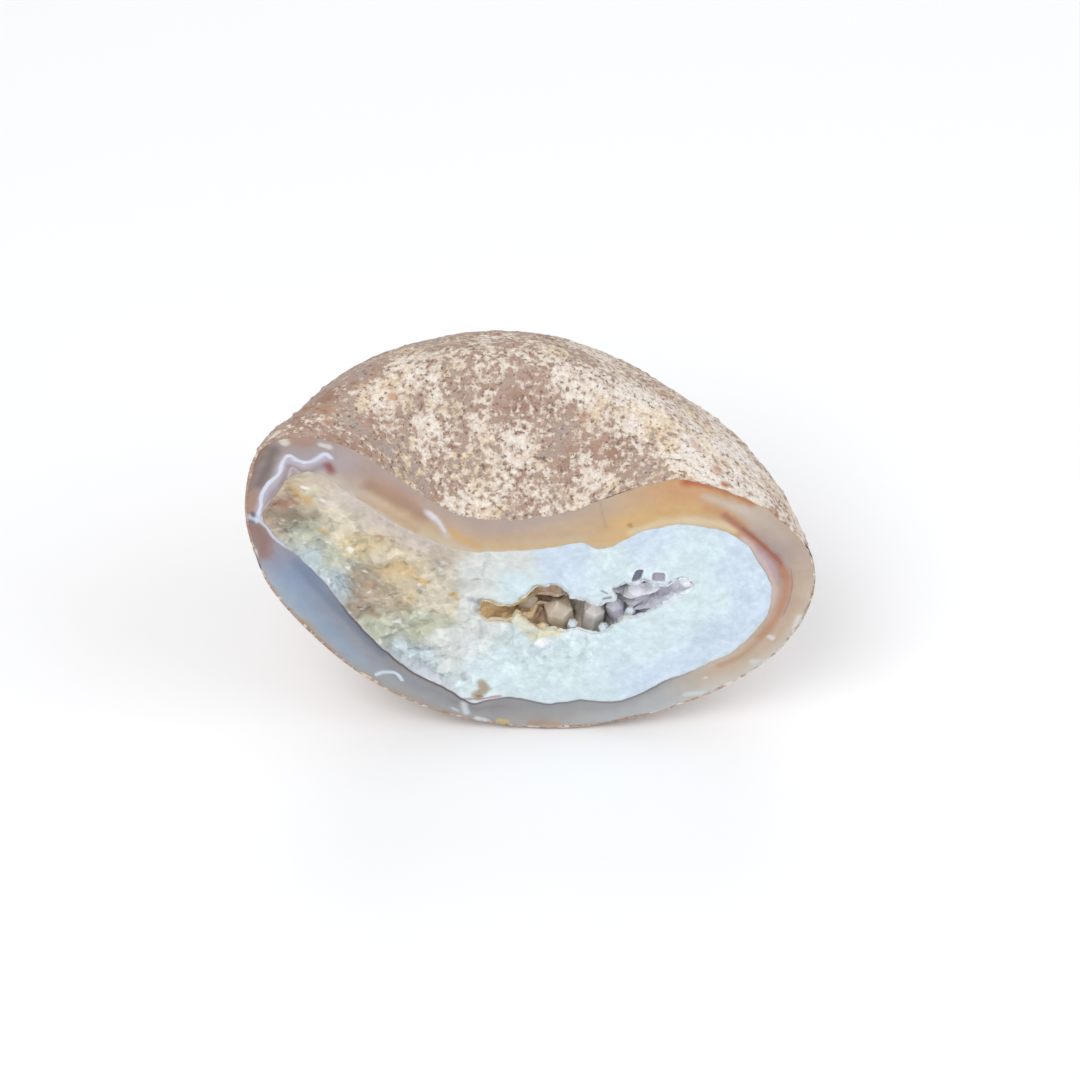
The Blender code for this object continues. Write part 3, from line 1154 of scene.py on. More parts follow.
@dataclass
class Rind:
    """The weathered rind, a closed skin over the whole outside of the nodule."""

    form: NoduleForm
    thickness: float = 1.9
    outer_rows: int = 124
    rim_rows: int = 2
    inner_rows: int = 12
    swell: float = 0.4
    lump: float = 0.24
    crust_rise: float = 0.3
    # Places on the skin (X, Y, Z) where the crust is thin or thick, each with its radius and strength.
    bare_places: tuple = (
        ((-6.3, -12.6, 76.0), 6.5, 0.9),
        ((5.1, -15.4, 70.9), 6.0, 0.8),
        ((-10.0, -10.9, 78.0), 6.0, 0.8),
        ((-13.8, -12.4, 75.6), 4.6, 0.95),
        ((-14.0, -15.6, 71.0), 5.0, 0.6),
        ((-38.8, -12.0, 75.5), 7.0, 0.9),
        ((-33.0, -4.0, 77.0), 6.0, 0.8),
        ((-21.6, -12.0, 75.4), 4.0, 0.6),
        ((12.8, -17.4, 67.5), 4.0, 0.35),
        ((-32.8, -17.5, 75.1), 5.0, 0.6),
        ((-47.0, -17.0, 74.0), 7.0, 0.9),
        ((-2.5, -3.4, 80.8), 8.0, 0.6),
        ((-15.9, -3.8, 80.3), 8.0, 0.5),
        ((5.2, 3.3, 76.7), 10.0, 0.5),
    )
    white_places: tuple = (
        ((-18.0, -14.6, 72.7), 6.0, 0.75),
        ((-30.0, -11.0, 76.0), 4.0, 0.9),
        ((29.9, -20.4, 67.6), 6.0, 1.0),
        ((-25.5, -6.4, 78.3), 7.0, 0.9),
        ((36.4, -10.0, 62.3), 8.0, 0.9),
        ((20.6, -8.5, 72.6), 9.0, 0.7),
        ((12.8, -7.3, 76.6), 8.0, 0.6),
        ((-2.5, -18.7, 67.5), 4.5, 0.8),
        ((-20.0, -21.0, 68.5), 4.0, 0.8),
        ((42.0, -20.0, 61.0), 6.0, 0.8),
        ((12.8, -20.1, 64.8), 5.0, 0.7),
        ((-6.3, -19.5, 64.4), 5.0, 0.6),
        ((-29.2, -15.7, 73.6), 5.0, 0.6),
        ((-38.3, -19.9, 77.1), 4.0, 0.6),
        ((37.6, -22.8, 64.6), 5.0, 0.7),
    )
    # Stains on the skin: colour, centre (X, Y, Z), radius and strength.
    stains: tuple = (
        ("#B06A44", (25.7, -0.7, 67.5), 2.0, 0.5),
        ("#B06A44", (28.8, -8.0, 67.9), 1.7, 0.5),
        ("#B56F48", (31.6, -15.6, 67.0), 1.8, 0.55),
        ("#BD6A40", (35.5, -21.0, 65.6), 1.9, 0.65),
        ("#C07A58", (36.6, -24.6, 65.2), 1.3, 0.9),
        ("#B08058", (46.4, -25.0, 58.7), 1.6, 0.8),
        ("#C89C58", (50.5, -25.6, 53.0), 1.6, 0.6),
        ("#B98D62", (54.3, -25.8, 45.0), 1.7, 0.6),
        ("#C79C60", (54.9, -25.8, 38.0), 1.8, 0.6),
        ("#A9663F", (-43.6, -14.0, 75.3), 3.2, 0.8),
        ("#B87C50", (-40.0, -16.0, 76.5), 2.6, 0.7),
        ("#B5693C", (-39.0, -20.5, 77.8), 1.4, 0.8),
        ("#9A6C52", (-33.5, -9.0, 77.8), 2.8, 0.7),
        ("#B98655", (-31.5, -4.5, 78.6), 2.2, 0.7),
        ("#B4683F", (-24.8, -9.0, 76.8), 1.1, 0.8),
        ("#BE8452", (-27.0, -11.5, 76.0), 1.5, 0.8),
        ("#BE8452", (-29.3, -14.0, 75.2), 1.2, 0.7),
        ("#B4754F", (3.0, -8.5, 75.5), 1.5, 0.6),
        ("#B06E48", (9.6, -13.0, 72.0), 1.8, 0.6),
        ("#B07C5A", (12.5, -17.0, 68.0), 1.9, 0.5),
        ("#7B5B49", (-50.5, -20.0, 72.0), 4.5, 0.7),
        ("#7B6258", (-53.5, -20.0, 64.0), 5.0, 0.6),
        ("#A98B6E", (-55.5, -22.0, 58.0), 3.5, 0.6),
        ("#E6DCC8", (-47.3, -24.5, 79.2), 1.8, 0.8),
        ("#A0745A", (-18.0, -25.0, 4.5), 2.8, 0.8),
        ("#D3D8DA", (-10.5, -25.4, 2.6), 1.6, 0.9),
        ("#C9B478", (-6.0, -25.4, 2.0), 1.3, 0.9),
        ("#B08868", (3.5, -25.4, 1.0), 2.6, 0.7),
        ("#D8D4CC", (0.5, -25.6, 1.2), 0.8, 0.8),
        ("#D4D8D6", (53.0, -25.6, 30.0), 2.4, 0.8),
        ("#CFD4D0", (46.5, -25.6, 18.5), 2.2, 0.7),
        ("#CFD4D2", (34.0, -25.6, 9.0), 2.2, 0.7),
        ("#A08A70", (-42.5, -25.4, 24.0), 3.0, 0.6),
    )

    def build(self, material: bpy.types.Material) -> bpy.types.Object:
        """Build the rind.

        Args:
            material: The rind's finish.

        Returns:
            The piece.
        """
        shares = np.linspace(0.0, 1.0, self.outer_rows)
        outside = self.form.sections(shares, self.form.outer, np.zeros((self.outer_rows, 1)), False)
        inside = self.form.lined_skin(self.inner_rows, self.thickness)
        steps = np.linspace(0.0, 1.0, self.rim_rows + 2)[1:-1]
        rim = np.stack([outside[0] + step * (inside[0] - outside[0]) for step in steps])
        piece, row = rolled_grid("weathered_rind", np.concatenate((outside[::-1], rim, inside)))
        step = np.clip((row - self.outer_rows + 1) / (self.rim_rows + 1), 0.0, 1.0)
        self.weather(piece, 1.0 - step)
        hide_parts("agate_shell")
        dress(piece, material, Grade.ROUNDED)
        return piece

    def weather(self, piece: bpy.types.Object, skin: np.ndarray) -> None:
        """Raise the crust, lumps and pits, and note where the crust and each stain lie.

        Args:
            piece: The rind.
            skin: How freely each vertex moves, from 1 outside to 0 inside.
        """
        places = mesh_places(piece)
        normals = mesh_normals(piece)
        fuzz = layered_noise(places, 3.0, 5, 4)
        crumbs = sum(
            soft_noise(places, size, seed) * weight
            for size, seed, weight in ((11.0, 21, 0.8), (5.0, 22, 0.7), (2.2, 23, 0.5), (1.1, 24, 0.5))
        )
        bare = blotch(places, self.bare_places, fuzz)
        white = blotch(places, self.white_places, fuzz)
        shade = 0.34 * (1.0 - ease(places[:, 0], -60.0, 30.0)) - 0.06 * ease(places[:, 0], 8.0, 24.0)
        crust = np.clip(0.74 - shade + 0.42 * crumbs + 0.45 * white - 0.45 * bare, -0.3, 1.3)
        pits = grain_cells(places, 2.4, 63)
        pit = (1.0 - ease(pits.near, 0.2, 0.8)) * (pits.share > 0.55)
        rise = (
            self.swell * layered_noise(places, 16.0, 3, 2)
            + self.lump * layered_noise(places, 5.0, 9, 3)
            + self.crust_rise * (ease(crust, 0.2, 0.9) - 0.5)
            + 0.1 * soft_noise(places, 0.9, 47)
            - 0.3 * pit
        )
        outward = normals.copy()
        near_face = 1.0 - ease(places[:, 1] - FACE_Y, 0.0, 2.5)
        outward[:, 1] *= 1.0 - near_face
        rise = np.maximum(rise, -0.02 - 0.7 * (1.0 - near_face))
        moved = places + outward * (rise * skin)[:, None]
        moved[:, 1] = np.maximum(moved[:, 1], FACE_Y)
        moved[:, 2] = np.maximum(moved[:, 2], 0.0)
        set_places(piece, moved)
        stain = np.full((len(places), 3), rgb(Tone.TAN.value))
        stained = np.zeros(len(places))
        for code, centre, radius, strength in self.stains:
            cover = blotch(places, ((centre, radius, strength),), 1.6 * fuzz)
            stain = overlay(stain, cover, rgb(code))
            stained = np.maximum(stained, cover)
        set_values(piece, "crust", crust)
        set_values(piece, "stain", stain)
        set_values(piece, "stained", stained)


@dataclass
class ChalcedonyWall:
    """The agate's banded wall, from just under the rind to the quartz."""

    form: NoduleForm
    seam: Outline
    inset: float
    gap: float = 0.02
    back_rows: int = 10
    face_rows: int = 55
    hollow_rows: int = 8
    seam_line: str = "#5A474A"
    # Where the seam's dark line starts, has its cusp and ends (X, Z).
    seam_line_places: tuple = ((-41.0, 40.0), (-14.0, 8.5), (36.0, 19.0))
    # Tones across the wall, from the rind inwards, at places round the sawn face (X, Z).
    tones: tuple = (
        ((-54.0, 57.0), (Tone.UMBER, Tone.ROSE_BROWN, Tone.MAUVE, Tone.LILAC)),
        ((-51.0, 41.0), (Tone.PEARL, Tone.STEEL, Tone.SLATE, Tone.DEEP_SLATE)),
        ((-40.0, 23.0), (Tone.ASH, Tone.STEEL, Tone.PEWTER, Tone.DUSK)),
        ((-27.0, 10.0), (Tone.TAUPE, Tone.ASH, Tone.PEWTER, Tone.ASH)),
        ((-9.0, 2.0), (Tone.TAUPE, Tone.ASH, Tone.DUSK, Tone.ASH)),
        ((2.0, 0.5), (Tone.SILVER, Tone.TAUPE, Tone.ASH, Tone.PEWTER)),
        ((14.0, 2.0), (Tone.SILVER, Tone.SILVER, Tone.ASH, Tone.ASH)),
        ((27.0, 6.0), (Tone.MIST, Tone.SILVER, Tone.SILVER, Tone.ASH)),
        ((40.0, 13.0), (Tone.SHELL, Tone.BISQUE, Tone.SAND, Tone.BISQUE)),
        ((51.0, 26.0), (Tone.SHELL, Tone.SAND, Tone.TAN, Tone.SAND)),
        ((55.0, 39.0), (Tone.BISQUE, Tone.SAND, Tone.LILAC_TAN, Tone.CLAY)),
        ((52.0, 52.0), (Tone.TAN, Tone.LILAC_TAN, Tone.MAUVE, Tone.LILAC)),
        ((43.0, 61.0), (Tone.SAND, Tone.BISQUE, Tone.TAN, Tone.GOLD)),
        ((33.0, 66.5), (Tone.GOLD, Tone.GOLD, Tone.AMBER, Tone.STRAW)),
        ((26.0, 67.0), (Tone.GOLD, Tone.GOLD, Tone.AMBER, Tone.AMBER)),
        ((14.0, 63.0), (Tone.SAND, Tone.HONEY, Tone.AMBER, Tone.AMBER)),
        ((5.0, 59.5), (Tone.LILAC_TAN, Tone.SAND, Tone.HONEY, Tone.STRAW)),
        ((-6.0, 58.5), (Tone.LILAC_TAN, Tone.LILAC_TAN, Tone.HONEY, Tone.STRAW)),
        ((-16.0, 60.0), (Tone.LILAC_TAN, Tone.TAN, Tone.HONEY, Tone.STRAW)),
        ((-24.0, 67.0), (Tone.LILAC_TAN, Tone.CLAY, Tone.HONEY, Tone.BISQUE)),
        ((-34.0, 75.0), (Tone.LILAC_TAN, Tone.LILAC, Tone.LILAC, Tone.BISQUE)),
        ((-44.0, 78.0), (Tone.MAUVE, Tone.MAUVE, Tone.LILAC, Tone.LILAC_TAN)),
        ((-52.0, 72.0), (Tone.SOOT, Tone.MAUVE, Tone.LILAC, Tone.LILAC_TAN)),
    )
    # Lines, spots and chips that lie on the wall, with painted glints on a dark glassy spot, in the order
    # they are laid.
    marks: tuple[Mark, ...] = (
        Mark("#685D57", 4.8, ((-51.8, 66.5), (-50.0, 71.0), (-48.8, 74.8)), 0.85, 1.0),
        Mark("#876450", 2.6, ((-53.6, 68.0), (-52.0, 72.6), (-50.2, 75.6)), 0.75, 1.0),
        Mark("#A68670", 3.0, ((-53.6, 63.5), (-53.8, 60.0)), 0.8),
        Mark("#8C6A5F", 6.4, ((-53.2, 55.6), (-51.8, 52.4), (-52.4, 48.8)), 0.9, 1.0),
        Mark("#A47858", 1.6, ((-52.6, 73.0), (-53.8, 68.0), (-54.8, 62.0), (-55.0, 56.0)), 0.7, 1.0),
        Mark("#A98672", 3.6, ((-45.0, 77.2), (-41.5, 77.0)), 0.8),
        Mark("#DDD6C6", 2.6, ((-47.3, 79.0), (-46.6, 76.8)), 0.8),
        Mark("#D3CFCB", 1.6, ((-39.9, 76.2), (-38.3, 75.6)), 0.9),
        Mark("#93858C", 3.0, ((-51.0, 62.0), (-49.2, 65.0), (-47.0, 67.5), (-45.8, 70.8), (-43.0, 69.6),
                              (-40.0, 71.2)), 0.8, 0.9),
        Mark("#BFB4BA", 0.7, ((-52.0, 57.0), (-51.5, 59.2), (-50.0, 62.0), (-48.2, 64.0), (-46.5, 67.2),
                              (-45.6, 70.4), (-44.4, 69.4), (-43.0, 68.2), (-41.0, 68.3), (-39.3, 69.6)),
             0.9),
        Mark("#C2BAC6", 3.0, ((-52.6, 58.5), (-51.2, 63.6), (-48.6, 67.6), (-46.6, 72.2), (-43.2, 71.0),
                              (-39.6, 72.8)), 0.7, 1.0),
        Mark("#D5D9E8", 0.95, ((-53.0, 57.5), (-52.0, 60.8), (-51.7, 63.5), (-50.5, 66.0), (-49.3, 67.5),
                               (-48.0, 69.0), (-47.4, 71.2), (-46.7, 72.9), (-45.8, 73.4), (-44.6, 72.4),
                               (-43.0, 71.8), (-41.4, 72.2), (-40.2, 73.2), (-39.0, 73.9), (-38.0, 72.9)),
             1.0, 0.5),
        Mark("#C9CEDE", 1.0, ((-53.0, 57.5), (-52.0, 56.4), (-51.0, 55.2), (-50.2, 53.2), (-48.6, 51.2),
                               (-46.8, 49.6)), 0.9, 0.8),
        # Painted glints on the dark glassy spot.
        Mark("#C4CAD6", 2.6, ((-53.4, 57.9), (-53.2, 57.3)), 0.8),
        Mark("#D4D9E6", 1.8, ((-53.9, 58.2), (-53.2, 57.0)), 0.8, 1.0),
        Mark("#3E4459", 1.5, ((-53.7, 58.9), (-53.5, 58.4)), 0.9, 0.9),
        Mark("#50566A", 1.3, ((-54.2, 57.0), (-53.6, 56.7)), 0.85, 0.9),
        Mark("#8E474B", 3.2, ((-38.5, 70.9), (-38.1, 69.9)), 0.95, 0.9),
        Mark("#CFD2D8", 1.5, ((-53.9, 49.4), (-53.7, 47.6)), 0.9),
        Mark("#6B7A90", 3.4, ((-46.0, 46.0), (-41.5, 38.5), (-36.5, 31.0), (-30.0, 21.5)), 0.7, 1.0),
        Mark("#A8957C", 4.4, ((-45.4, 30.0), (-43.0, 25.0), (-40.0, 20.6)), 0.85, 1.0),
        Mark("#CDD8E0", 0.9, ((-31.6, 15.7), (-30.4, 16.4), (-28.7, 16.5), (-27.4, 16.0), (-26.4, 14.3)),
             1.0, 0.4),
        Mark("#A17F67", 5.2, ((-31.0, 66.0), (-27.5, 63.4), (-24.0, 60.8), (-20.8, 58.2)), 0.8, 1.0),
        Mark("#BB9972", 3.2, ((-33.5, 62.6), (-29.5, 60.4), (-26.0, 57.4), (-22.5, 54.6)), 0.6, 1.0),
        Mark("#C9C3C4", 2.4, ((-20.4, 59.5), (-19.2, 58.2), (-17.9, 56.2), (-16.6, 53.4)), 0.7, 1.0),
        Mark("#DAD6DA", 2.6, ((-20.0, 59.0), (-19.2, 58.0)), 0.8, 1.0),
        Mark("#DEDBE0", 1.3, ((-19.6, 58.9), (-18.8, 58.0), (-17.9, 56.4), (-17.0, 54.4)), 0.8, 1.0),
        Mark("#CBA063", 3.0, ((-15.8, 54.4), (-13.2, 52.0), (-10.5, 50.2)), 0.65, 1.0),
        Mark("#CBAA78", 2.2, ((-8.0, 50.2), (0.0, 50.4), (9.0, 51.2), (15.0, 52.6), (17.5, 54.4)), 0.7, 0.9),
        Mark("#A0773F", 1.5, ((18.6, 56.0), (18.7, 55.6)), 0.75, 0.9),
        Mark("#A5886C", 0.9, ((12.7, 62.6), (13.2, 59.0), (14.0, 55.4)), 0.4, 1.0),
        Mark("#B4562C", 3.8, ((29.0, 67.0), (31.4, 66.8), (33.6, 66.4)), 0.95, 1.0),
        Mark("#C9BFB3", 3.0, ((32.5, 63.4), (36.0, 61.6), (40.5, 59.4)), 0.6, 1.0),
        Mark("#B27339", 3.8, ((33.6, 66.2), (36.4, 64.9), (39.4, 63.3), (41.8, 61.8)), 0.95, 0.9),
        Mark("#DBAA5A", 2.0, ((45.0, 60.6), (46.6, 59.0)), 0.9),
        Mark("#C9A26A", 2.6, ((24.0, 59.2), (31.0, 59.6), (36.0, 58.2)), 0.6, 1.0),
        Mark("#CDB7B0", 3.4, ((40.5, 52.0), (43.3, 48.6), (45.4, 45.0), (46.6, 41.0), (46.6, 36.5),
                              (45.0, 32.0)), 0.85, 1.0),
        Mark("#B698A6", 2.0, ((43.6, 49.6), (45.8, 46.2), (47.2, 42.4)), 0.7, 1.0),
        Mark("#DCCBA8", 3.4, ((19.0, 54.2), (25.5, 56.6), (30.8, 57.0), (36.2, 55.9), (38.4, 54.6)),
             0.7, 1.0),
        Mark("#C48E58", 3.6, ((33.0, 60.2), (35.0, 59.8), (37.5, 58.4), (40.4, 55.8)), 0.65, 1.0),
        Mark("#A5684F", 3.0, ((36.8, 58.4), (39.8, 55.3), (42.4, 52.8), (44.6, 50.2), (46.6, 47.8),
                              (48.1, 45.4), (49.1, 42.4)), 0.9, 1.0),
        Mark("#93503F", 1.3, ((40.4, 54.9), (43.6, 51.6), (46.0, 48.8), (48.0, 46.2)), 0.75, 1.0),
        Mark("#B5805E", 3.0, ((48.8, 44.0), (49.4, 40.5), (49.2, 36.8), (48.4, 33.0), (46.9, 29.4),
                              (45.0, 26.2)), 0.85, 1.0),
        Mark("#B3906F", 2.2, ((46.4, 28.4), (44.2, 24.8), (41.2, 21.0), (37.0, 18.4)), 0.7, 1.0),
        Mark("#9E6A4A", 0.5, ((50.0, 44.6), (50.5, 40.8), (50.2, 36.4), (49.2, 32.2)), 0.6, 0.8),
        Mark("#DCD8D4", 2.6, ((52.6, 31.5), (52.0, 29.0)), 0.8, 0.7),
        Mark("#DCD8D4", 1.2, ((46.6, 26.4), (47.4, 25.9)), 0.9),
        Mark("#CDD0CA", 2.4, ((43.6, 19.6), (46.2, 19.2)), 0.75, 0.8),
        Mark("#CFD2CE", 1.8, ((30.6, 10.2), (34.2, 10.6)), 0.85, 0.8),
        Mark("#CFD2CE", 1.6, ((40.2, 13.4), (42.4, 14.4)), 0.7, 0.8),
        Mark("#E2E4E4", 0.7, ((34.4, 15.0), (34.6, 14.9)), 0.9),
        Mark("#D2D9DE", 2.2, ((-14.1, 7.6), (-13.6, 5.0)), 0.85, 0.8),
        Mark("#C4C7C8", 1.0, ((-16.4, 6.2), (-15.4, 5.6)), 0.8),
        Mark("#A07455", 2.2, ((-19.5, 4.9), (-16.8, 4.2)), 0.8, 0.8),
        Mark("#D6DADC", 1.5, ((-11.6, 3.4), (-9.4, 2.6)), 0.85),
        Mark("#C9B478", 1.6, ((-7.2, 2.8), (-5.4, 2.4)), 0.85),
        Mark("#AF8868", 2.2, ((-0.8, 1.9), (5.0, 1.7)), 0.6, 0.9),
    )

    def build(self, material: bpy.types.Material) -> bpy.types.Object:
        """Build the wall.

        Args:
            material: The wall's finish.

        Returns:
            The piece.
        """
        back = self.form.lined_skin(self.back_rows, self.inset, self.gap)
        shares = np.linspace(0.0, 1.0, self.hollow_rows)
        hollow = self.form.sections(shares, self.seam, np.zeros((self.hollow_rows, 1)), True)
        flat = relaxed_rows(back[0][:, (0, 2)], hollow[0][:, (0, 2)], self.face_rows)
        face = np.stack((flat[..., 0], np.full(flat.shape[:2], FACE_Y), flat[..., 1]), axis=2)
        piece, _ = rolled_grid("chalcedony_wall", np.concatenate((back[::-1], face, hollow)))
        self.tint(piece)
        dress(piece, material, Grade.SAWN)
        return piece

    def tint(self, piece: bpy.types.Object) -> None:
        """Colour the wall by how deep each place lies in it and how far round the face it is.

        Args:
            piece: The wall's mesh.
        """
        places = mesh_places(piece)
        flat = places[:, (0, 2)]
        outer_distance, around = self.form.outer.nearest(flat)
        inner_distance, inner_around = self.seam.nearest(flat)
        depth = outer_distance / np.maximum(outer_distance + inner_distance, 0.001)
        stations = np.array([place for place, _ in self.tones])
        _, station_share = self.form.outer.nearest(stations)
        order = np.argsort(station_share)
        palette = np.array([[rgb(tone.value) for tone in tones] for _, tones in self.tones])[order]
        shares = station_share[order]
        wrapped = np.concatenate((shares[-1:] - 1.0, shares, shares[:1] + 1.0))
        palette = np.concatenate((palette[-1:], palette, palette[:1]))
        fuzz = layered_noise(flat, 5.0, 77, 4)
        level = np.clip(depth + 0.07 * fuzz, 0.0, 1.0) * 3.0
        lower = np.clip(np.floor(level).astype(int), 0, 2)
        part = level - lower
        colour = np.zeros((len(places), 3))
        every = np.arange(len(places))
        for channel in range(3):
            tracks = np.stack(
                [np.interp(around, wrapped, palette[:, step, channel]) for step in range(4)], axis=1
            )
            colour[:, channel] = tracks[every, lower] * (1.0 - part) + tracks[every, lower + 1] * part
        colour = paint(colour, flat, self.marks, layered_noise(flat, 1.4, 79, 3))
        colour = self.shade_seam(colour, inner_distance, inner_around)
        set_values(piece, "tint", colour)
        set_values(piece, "wall_depth", outer_distance)

    def shade_seam(self, colour: np.ndarray, distance: np.ndarray, around: np.ndarray) -> np.ndarray:
        """Darken the thin iron line where the lower wall meets the quartz.

        Args:
            colour: Linear RGB, one row for each vertex.
            distance: Each vertex's distance from the seam in millimetres.
            around: How far round the seam each vertex is, from 0 to 1.

        Returns:
            The colour with the line on it.
        """
        _, (start, cusp, end) = self.seam.nearest(np.array(self.seam_line_places))
        along = (around - start) / (end - start)
        strength = ease(along, 0.0, 0.12) * (1.0 - ease(along, 0.85, 1.0))
        strength *= 1.0 - 0.5 * ease((around - cusp) / (end - start), 0.0, 0.05)
        line = strength * (1.0 - ease(distance, 0.25, 0.7))
        glow = 0.5 * strength * (1.0 - ease(distance, 0.3, 2.6))
        colour = colour * (1.0 - 0.28 * glow[:, None])
        return overlay(colour, 0.85 * line, rgb(self.seam_line))


@dataclass(frozen=True)
class Pocket:
    """A small open gap between crystals in the sawn quartz, four-sided and leaning; its colour is painted
    shade in the hollow.
    """

    centre: tuple[float, float]
    half_width: float
    half_height: float
    lean: float
    depth: float
    # The painted shade inside the pocket.
    colour: str

    def away(self, flat: np.ndarray, fuzz: np.ndarray) -> np.ndarray:
        """Return how far out each place lies, where 1 is the pocket's edge.

        Args:
            flat: Places on the face, X and Z in millimetres.
            fuzz: Noise that frays the edge, one value for each place.

        Returns:
            A number for each place.
        """
        up = flat[:, 1] - self.centre[1]
        across = np.abs(flat[:, 0] - self.centre[0] - self.lean * up) / self.half_width
        tall = np.abs(up) / self.half_height
        return (across**4 + tall**4) ** 0.25 + 0.12 * fuzz


@dataclass
class Grain:
    """What the shaping and the tinting of the lining share, with one value or row for each vertex."""

    flat: np.ndarray
    warp: np.ndarray
    fine: np.ndarray
    rough: np.ndarray
    large: Tips
    small: Tips
    on_face: np.ndarray
    behind: np.ndarray
    seam_distance: np.ndarray
    lip_distance: np.ndarray


@dataclass
class QuartzLining:
    """The massive quartz, sawn through, with the open vug in its face."""

    form: NoduleForm
    seam: Outline
    back_rows: int = 10
    face_rows: int = 95
    bowl_rows: int = 38
    # Sizes of the grains on the face, the crystals in the vug and the painted glints, in millimetres.
    large_mm: float = 4.6
    small_mm: float = 2.3
    growth_mm: float = 4.2
    drusy_mm: float = 1.7
    painted_glint_mm: float = 1.5
    # The quartz is rough up to the first X and clear past the second, with a drusy skirt under the vug.
    rough_span: tuple[float, float] = (-22.0, -4.0)
    skirt_middle: tuple[float, float] = (-1.0, 22.5)
    skirt_reach: tuple[float, float] = (15.0, 8.5)
    # How deep the bowl is, along X.
    bowl_depths: tuple = (
        (-11.0, 2.6), (-5.0, 3.6), (1.0, 7.5), (8.0, 9.5),
        (14.0, 8.6), (20.0, 4.0), (26.0, 2.6), (31.0, 1.6),
    )
    bowl_sink: float = 2.4
    # How far apart the bowl's upper and lower walls are, along X.
    bowl_rooms: tuple = (
        (-11.0, 0.0), (-9.0, 4.5), (-5.0, 3.8), (-3.4, 2.6), (-1.0, 6.0), (2.0, 11.0), (6.0, 9.5),
        (10.0, 8.5), (14.0, 7.0), (18.0, 8.5), (24.0, 6.0), (28.0, 3.6), (31.4, 0.2),
    )
    # The colour of the vug's crystals, along X.
    bowl_tints: tuple[tuple[float, str], ...] = (
        (-8.0, "#E9C994"), (-3.0, "#ECCFA0"), (2.0, "#EBCDB2"), (6.0, "#EFDFCB"), (12.0, "#F2EEE6"),
        (18.0, "#F0EFF6"), (24.0, "#F2F2FA"),
    )
    bowl_middle: tuple[float, float] = (9.8, 33.8)
    # The vug's mouth on the sawn face (X, Z).
    mouth: tuple = (
        (-10.8, 32.8), (-9.9, 36.0), (-8.2, 35.1), (-6.6, 34.5), (-5.2, 34.6), (-2.7, 35.5), (-1.0, 37.4),
        (0.8, 39.7), (2.2, 39.3), (3.6, 40.1), (5.2, 39.1), (6.7, 37.3), (7.3, 36.3), (10.3, 35.5),
        (12.0, 34.2), (14.1, 34.8), (15.9, 35.7), (16.6, 36.8), (15.6, 38.9), (18.1, 40.3), (20.1, 39.9),
        (21.8, 41.0), (23.6, 39.8), (25.4, 39.4), (26.8, 40.2), (28.5, 41.8), (30.3, 41.5), (31.4, 39.6),
        (29.5, 38.2), (27.2, 37.0), (25.2, 35.2), (22.3, 33.0), (20.3, 31.7), (17.6, 31.3), (16.6, 29.6),
        (15.3, 28.5), (13.0, 26.6), (10.9, 27.4), (9.0, 28.6), (7.3, 27.7), (5.2, 27.4), (3.8, 28.6),
        (2.0, 27.6), (0.4, 28.4), (-1.2, 30.4), (-2.4, 31.6), (-3.3, 33.4), (-4.1, 31.2), (-5.4, 30.6),
        (-9.1, 30.8),
    )
    # Tones of the sawn quartz at places on the face (X, Z).
    tones: tuple = (
        ((-48.0, 60.0), Tone.TAN),
        ((-46.0, 66.0), Tone.STRAW),
        ((-41.0, 64.0), Tone.CREAM),
        ((-45.0, 57.5), Tone.OLIVE),
        ((-36.0, 63.0), Tone.BLUSH),
        ((-30.0, 57.5), Tone.BLUSH),
        ((-37.0, 56.0), Tone.CREAM),
        ((-43.0, 53.0), Tone.SAGE),
        ((-44.0, 47.0), Tone.SEA),
        ((-38.0, 47.5), Tone.SAGE),
        ((-33.5, 51.0), Tone.BUTTER),
        ((-38.0, 40.0), Tone.SEA),
        ((-33.0, 41.0), Tone.SMOKE),
        ((-26.0, 45.0), Tone.BUTTER),
        ((-23.0, 53.0), Tone.BLUSH),
        ((-17.0, 47.5), Tone.BISQUE),
        ((-20.0, 41.0), Tone.CREAM),
        ((-27.0, 37.0), Tone.STRAW),
        ((-34.0, 34.0), Tone.SMOKE),
        ((-32.0, 28.0), Tone.SAGE),
        ((-22.0, 29.0), Tone.SAGE),
        ((-18.0, 35.0), Tone.CREAM),
        ((-25.0, 20.0), Tone.SEA),
        ((-15.0, 24.0), Tone.MILK),
        ((-11.0, 43.0), Tone.MILK),
        ((-12.0, 35.0), Tone.MILK),
        ((-8.0, 17.0), Tone.ICE),
        ((-4.0, 47.0), Tone.MILK),
        ((-40.4, 67.6), Tone.BISQUE),
        ((-4.0, 40.0), Tone.ICE),
        ((6.0, 46.0), Tone.PERIWINKLE),
        ((2.0, 22.0), Tone.ICE),
        ((8.0, 14.0), Tone.ICE),
        ((16.0, 46.0), Tone.ICE),
        ((22.0, 50.0), Tone.PERIWINKLE),
        ((28.0, 47.0), Tone.ICE),
        ((22.0, 24.0), Tone.ICE),
        ((34.0, 36.0), Tone.ICE),
        ((42.0, 44.0), Tone.PERIWINKLE),
        ((44.0, 36.0), Tone.PERIWINKLE),
        ((38.0, 26.0), Tone.PERIWINKLE),
        ((26.0, 16.0), Tone.PERIWINKLE),
    )
